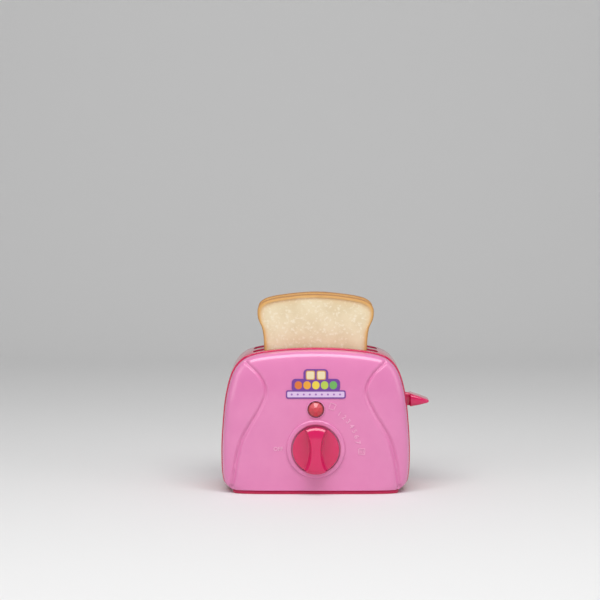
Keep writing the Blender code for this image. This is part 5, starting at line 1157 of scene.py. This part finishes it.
def printed_label():
    """Coated label paper printed with plain coloured shapes."""
    material, tree, shader = plain_material("printed_label")
    grain = noise(tree, 1500.0)
    colour = blended(tree, grain, (0.160, 0.045, 0.300), (0.190, 0.060, 0.340))
    shapes = [(0.0, BAR_Z, 0.0190, 0.0019, 0.0009, (0.700, 0.520, 0.770))]
    spots = ((0.700, 0.180, 0.040), (0.800, 0.360, 0.040), (0.820, 0.620, 0.070), (0.470, 0.600, 0.080),
             (0.160, 0.440, 0.110))
    for k, tint in enumerate(spots):
        shapes.append((SPOT_STEP * (k - 2), SPOTS_Z, 0.0025, 0.0027, 0.0024, tint))
    for x in (-SLICE_X, SLICE_X):
        shapes.append((x, SLICES_Z, 0.0031, 0.0031, 0.0013, (0.640, 0.330, 0.090)))
        shapes.append((x, SLICES_Z, 0.0025, 0.0025, 0.0010, (0.800, 0.680, 0.440)))
    for k in range(9):
        shapes.append((DOT_STEP * (k - 4), BAR_Z, 0.0007, 0.0007, 0.0007, (0.330, 0.130, 0.470)))
    for *sizes, tint in shapes:
        mask = put(tree, "ShaderNodeGroup", dict(enumerate(sizes)), node_tree=PATCH).outputs["Mask"]
        colour = blended(tree, mask, colour, tint)
    dress(shader, colour, between(tree, grain, 0.3, 0.7, 0.30, 0.38), grain, 0.05, 0.00001)
    return material


def bent_sheet(x_low, x_high, z_low, z_high, low, high, columns=64, rows=32):
    """A thin sheet that follows the front shell's face, between two lifts off it."""
    layers = []
    for lift in (low, high):
        for i in range(rows + 1):
            z = z_low + (z_high - z_low) * i / rows
            for j in range(columns + 1):
                x = x_low + (x_high - x_low) * j / columns
                layers.append((x, -(SEAM + face_depth(x, z) + lift), z))
    count, width = (rows + 1) * (columns + 1), columns + 1
    faces = []
    for i in range(rows):
        for j in range(columns):
            a = i * width + j
            faces.append((a, a + 1, a + 1 + width, a + width))
            faces.append((count + a, count + a + width, count + a + 1 + width, count + a + 1))
    rim = list(range(width)) + [i * width + columns for i in range(1, rows + 1)]
    rim += [rows * width + j for j in range(columns - 1, -1, -1)]
    rim += [i * width for i in range(rows - 1, 0, -1)]
    faces += [(a, b, count + b, count + a) for a, b in zip(rim, rim[1:] + rim[:1])]
    return mesh_of(layers, faces)


prisms = []
for k, (*box, corner) in enumerate(LABEL_BLOCKS):
    outline = rounded_rectangle(*box, corner, 6)
    prisms.append(slab(outline, -0.0400 - 0.0005 * k, -0.0280 + 0.0005 * k, axis="Y"))
die = combine(prisms[0], "UNION", *prisms[1:])
label = combine(bent_sheet(-0.0204, 0.0204, 0.0640, 0.0843, 0.0001, 0.0004), "INTERSECT", die)
dressed("front_label", label, 30, printed_label(), "housing", "label_paper", "front_sticker")


# Cells. Two drawn steel cans of the small common size, each in a dark plastic jacket with a
# copper-coloured band at its plus end, side by side in the battery box.

CELL_RADIUS, CELL_LENGTH, NUB_LENGTH, NUB_RADIUS, CRIMP = 0.0052, 0.0437, 0.0010, 0.0019, 0.0004


def cell_jacket():
    """A printed jacket, bare metal at both ends, by how far along the cell a point lies."""
    material, tree, shader = plain_material("printed_cell_jacket")
    far = put(tree, "ShaderNodeAttribute", attribute_name="along_cell", attribute_type="GEOMETRY")
    far = far.outputs["Fac"]
    grain = noise(tree, 700.0)
    jacket = blended(tree, grain, (0.035, 0.045, 0.065), (0.055, 0.068, 0.092))
    banded = blended(tree, between(tree, far, 0.72, 0.725), jacket, (0.560, 0.280, 0.110))
    ends = between(tree, reckon(tree, "ABSOLUTE", far), 0.985, 0.990)
    tree.links.new(ends, shader.inputs["Metallic"])
    dress(shader, blended(tree, ends, banded, (0.520, 0.520, 0.540)),
          between(tree, grain, 0.3, 0.7, 0.24, 0.34), grain, 0.05, 0.00001)
    return material


JACKET = cell_jacket()
start = -0.5 * (CELL_LENGTH - NUB_LENGTH)
end = start + CELL_LENGTH
profile = [(0, start + CRIMP), (0.55 * CELL_RADIUS, start + CRIMP), (0.62 * CELL_RADIUS, start)]
profile += rounded_corner((CELL_RADIUS - CRIMP, start + CRIMP), CRIMP, 270, 360, 4)
profile += rounded_corner((CELL_RADIUS - CRIMP, end - CRIMP), CRIMP, 0, 90, 4)
profile += [(0.70 * CELL_RADIUS, end), (0.66 * CELL_RADIUS, end - CRIMP), (NUB_RADIUS, end - CRIMP)]
profile += [(NUB_RADIUS, end + 0.7 * NUB_LENGTH), (0.8 * NUB_RADIUS, end + NUB_LENGTH)]
profile += [(0, end + NUB_LENGTH)]
for name, node, hand in (("cell_one", "battery_front", 1), ("cell_two", "battery_rear", -1)):
    low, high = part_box(node)
    centre = (0, 0.5 * (low[1] + high[1]), 0.5 * (low[2] + high[2]))
    cell = turned([(radius, hand * x) for radius, x in profile], centre, "X", 48)
    shares = [hand * vertex.co.x / (0.5 * CELL_LENGTH - CRIMP) for vertex in cell.vertices]
    cell.attributes.new("along_cell", "FLOAT", "POINT").data.foreach_set("value", shares)
    dressed(name, cell, 35, JACKET, "housing", "cell_jacket", node)


# Inner works. The CAD shapes of the carriage, the clockwork, the contacts and the lamp board stay,
# in natural acetal, stamped brass, plated steel and green board. The lift springs are wound anew.

TRAVEL, SPRING_WIRE = 0.0280, 0.0004
NATURAL_ACETAL = plastic("natural_acetal", (0.760, 0.745, 0.690), (0.700, 0.680, 0.620), 0.38, 0.50, coat=0.0)
STAMPED_BRASS = metal("stamped_brass", (0.620, 0.400, 0.120), (0.500, 0.300, 0.080), 0.26, 0.42)
SPRING_STEEL = metal("spring_steel", (0.560, 0.570, 0.590), (0.420, 0.430, 0.450), 0.18, 0.32)
BLUED_STEEL = metal("blued_steel", (0.120, 0.150, 0.230), (0.090, 0.100, 0.150), 0.24, 0.36)


def board_material():
    """Green solder mask over a circuit board, with faint tracks of copper under it."""
    material, tree, shader = plain_material("green_board")
    rows = reckon(tree, "SINE", ("MULTIPLY", xyz(tree, place_in(tree))[2], 2400.0))
    grain = noise(tree, 500.0)
    mask = blended(tree, grain, (0.012, 0.130, 0.045), (0.020, 0.170, 0.060))
    colour = blended(tree, between(tree, rows, 0.55, 0.65), mask, (0.050, 0.260, 0.090))
    dress(shader, colour, between(tree, grain, 0.3, 0.7, 0.28, 0.40), rows, 0.10, 0.00003)
    return material


def spring_tree():
    """A coil spring of round wire, standing on the ground."""
    tree, ask = shape_tree(
        "coil_spring", Radius=0.003, Wire=0.0004, Turns=7.0, Height=0.03, Place=(0.0, 0.0, 0.0),
    )
    path = put(tree, "GeometryNodeCurveSpiral", {
        "Resolution": 28, "Rotations": ask["Turns"], "Start Radius": ask["Radius"],
        "End Radius": ask["Radius"], "Height": ask["Height"],
    }).outputs[0]
    wire = put(tree, "GeometryNodeCurvePrimitiveCircle", {"Resolution": 10, "Radius": ask["Wire"]}).outputs[0]
    coil = put(tree, "GeometryNodeCurveToMesh", {"Curve": path, "Profile Curve": wire, "Fill Caps": True})
    moved = put(tree, "GeometryNodeTransform", {"Geometry": coil.outputs[0], "Translation": ask["Place"]})
    return end_shape(tree, moved.outputs[0], ask["Finish"])


COIL_SPRING = spring_tree()
for hand in ("left", "right"):
    node = f"lift_spring_{hand}"
    low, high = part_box(node)
    x, y, length = 0.5 * (low[0] + high[0]), 0.5 * (low[1] + high[1]), high[2] - low[2]
    coil = grow(COIL_SPRING, {
        "Radius": 0.5 * (high[0] - low[0]) - SPRING_WIRE, "Wire": SPRING_WIRE, "Turns": 7.0,
        "Height": length - 2 * SPRING_WIRE, "Place": (x, y, low[2] + SPRING_WIRE), "Finish": SPRING_STEEL,
    })
    piece = dressed(f"{hand}_lift_coil", cleaned(coil), 180, SPRING_STEEL, "housing", "steel", node)
    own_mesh(piece)

for finish, names in (
    (NATURAL_ACETAL, ("carriage", "main_gear", "second_wheel", "escape_wheel", "latch", "timer_cam")),
    (STAMPED_BRASS, ("timer_front_plate", "timer_back_plate", "pallet_lever")),
    (SPRING_STEEL, ("battery_spring_front", "battery_spring_rear", "latch_spring", "contact_bridge",
                    "contact_minus", "contact_plus")),
    (PLATED_STEEL, ("guide_rod_left", "guide_rod_right", "timer_shaft", "second_arbor", "escape_arbor",
                    "pallet_arbor", "latch_pin")),
    (BLUED_STEEL, ("mainspring",)),
    (board_material(), ("lamp_board",)),
    (RED_GLASS, ("lamp_bulb",)),
):
    for name in names:
        for place in nodes[name].material_slots:
            place.material = finish


# Floor and light: a pale studio sweep, one wide soft box above the front and two soft sides.

SWEEP_HALF_WIDTH, SWEEP_NEAR, SWEEP_FAR, SWEEP_ROUND, SWEEP_TOP = 6.0, -6.0, 0.7, 0.5, 2.2
sweep = [(SWEEP_NEAR, 0.0), (SWEEP_FAR, 0.0)]
for k in range(1, 17):
    angle = math.radians(90 * k / 16)
    sweep.append((SWEEP_FAR + SWEEP_ROUND * math.sin(angle), SWEEP_ROUND - SWEEP_ROUND * math.cos(angle)))
sweep.append((SWEEP_FAR + SWEEP_ROUND, SWEEP_TOP))
vertices = [(x, y, z) for y, z in sweep for x in (-SWEEP_HALF_WIDTH, SWEEP_HALF_WIDTH)]
faces = [(2 * k, 2 * k + 1, 2 * k + 3, 2 * k + 2) for k in range(len(sweep) - 1)]
floor_mesh = bpy.data.meshes.new("studio_floor")
floor_mesh.from_pydata(vertices, [], faces)
floor_mesh.shade_smooth()
material, tree, shader = plain_material("studio_paper")
shader.inputs["Base Color"].default_value = (0.80, 0.80, 0.80, 1.0)
shader.inputs["Roughness"].default_value = 0.9
floor_mesh.materials.append(material)
show("studio_floor", floor_mesh)

world = bpy.data.worlds.new("studio")
bpy.context.scene.world = world
world.use_nodes = True
background = world.node_tree.nodes["Background"]
background.inputs["Color"].default_value = (1.0, 1.0, 1.0, 1.0)
background.inputs["Strength"].default_value = 0.30


def soft_box(name, place, width, height, power):
    """A wide soft lamp that looks at the toaster."""
    light = bpy.data.lights.new(name, "AREA")
    light.shape = "RECTANGLE"
    light.size, light.size_y = width, height
    light.energy = power
    lamp = show(name, light)
    lamp.location = place
    lamp.rotation_euler = (Vector((0.0, 0.0, 0.06)) - Vector(place)).to_track_quat("-Z", "Y").to_euler()


soft_box("top_box", (0.0, -0.55, 0.95), 1.2, 0.50, 9.6)
soft_box("left_box", (-1.0, -0.8, 0.45), 0.6, 0.8, 2.0)
soft_box("right_box", (1.0, -0.6, 0.5), 0.5, 0.8, 1.5)


# Camera: almost level with the toaster, a little above it, at the photograph's distance.

PIXEL, PHOTO_SIDE, DISTANCE, SENSOR = 0.00066, 600, 1.30, 36.0
MIDDLE_COLUMN, FOOT_ROW = 315.9, 497
camera_data = bpy.data.cameras.new("camera")
camera = show("camera", camera_data)
bpy.context.scene.camera = camera
half_side = PHOTO_SIDE / 2
aim = Vector(((half_side - MIDDLE_COLUMN) * PIXEL, -FACE, (FOOT_ROW - half_side) * PIXEL))
rise = math.radians(5.0)
camera.location = aim + Vector((0.0, -math.cos(rise), math.sin(rise))) * DISTANCE
camera.rotation_euler = (math.pi / 2 - rise, 0.0, 0.0)
camera_data.sensor_fit = "HORIZONTAL"
camera_data.sensor_width = SENSOR
camera_data.lens = SENSOR * DISTANCE / (PHOTO_SIDE * PIXEL)
bpy.context.scene.view_settings.view_transform = "Standard"
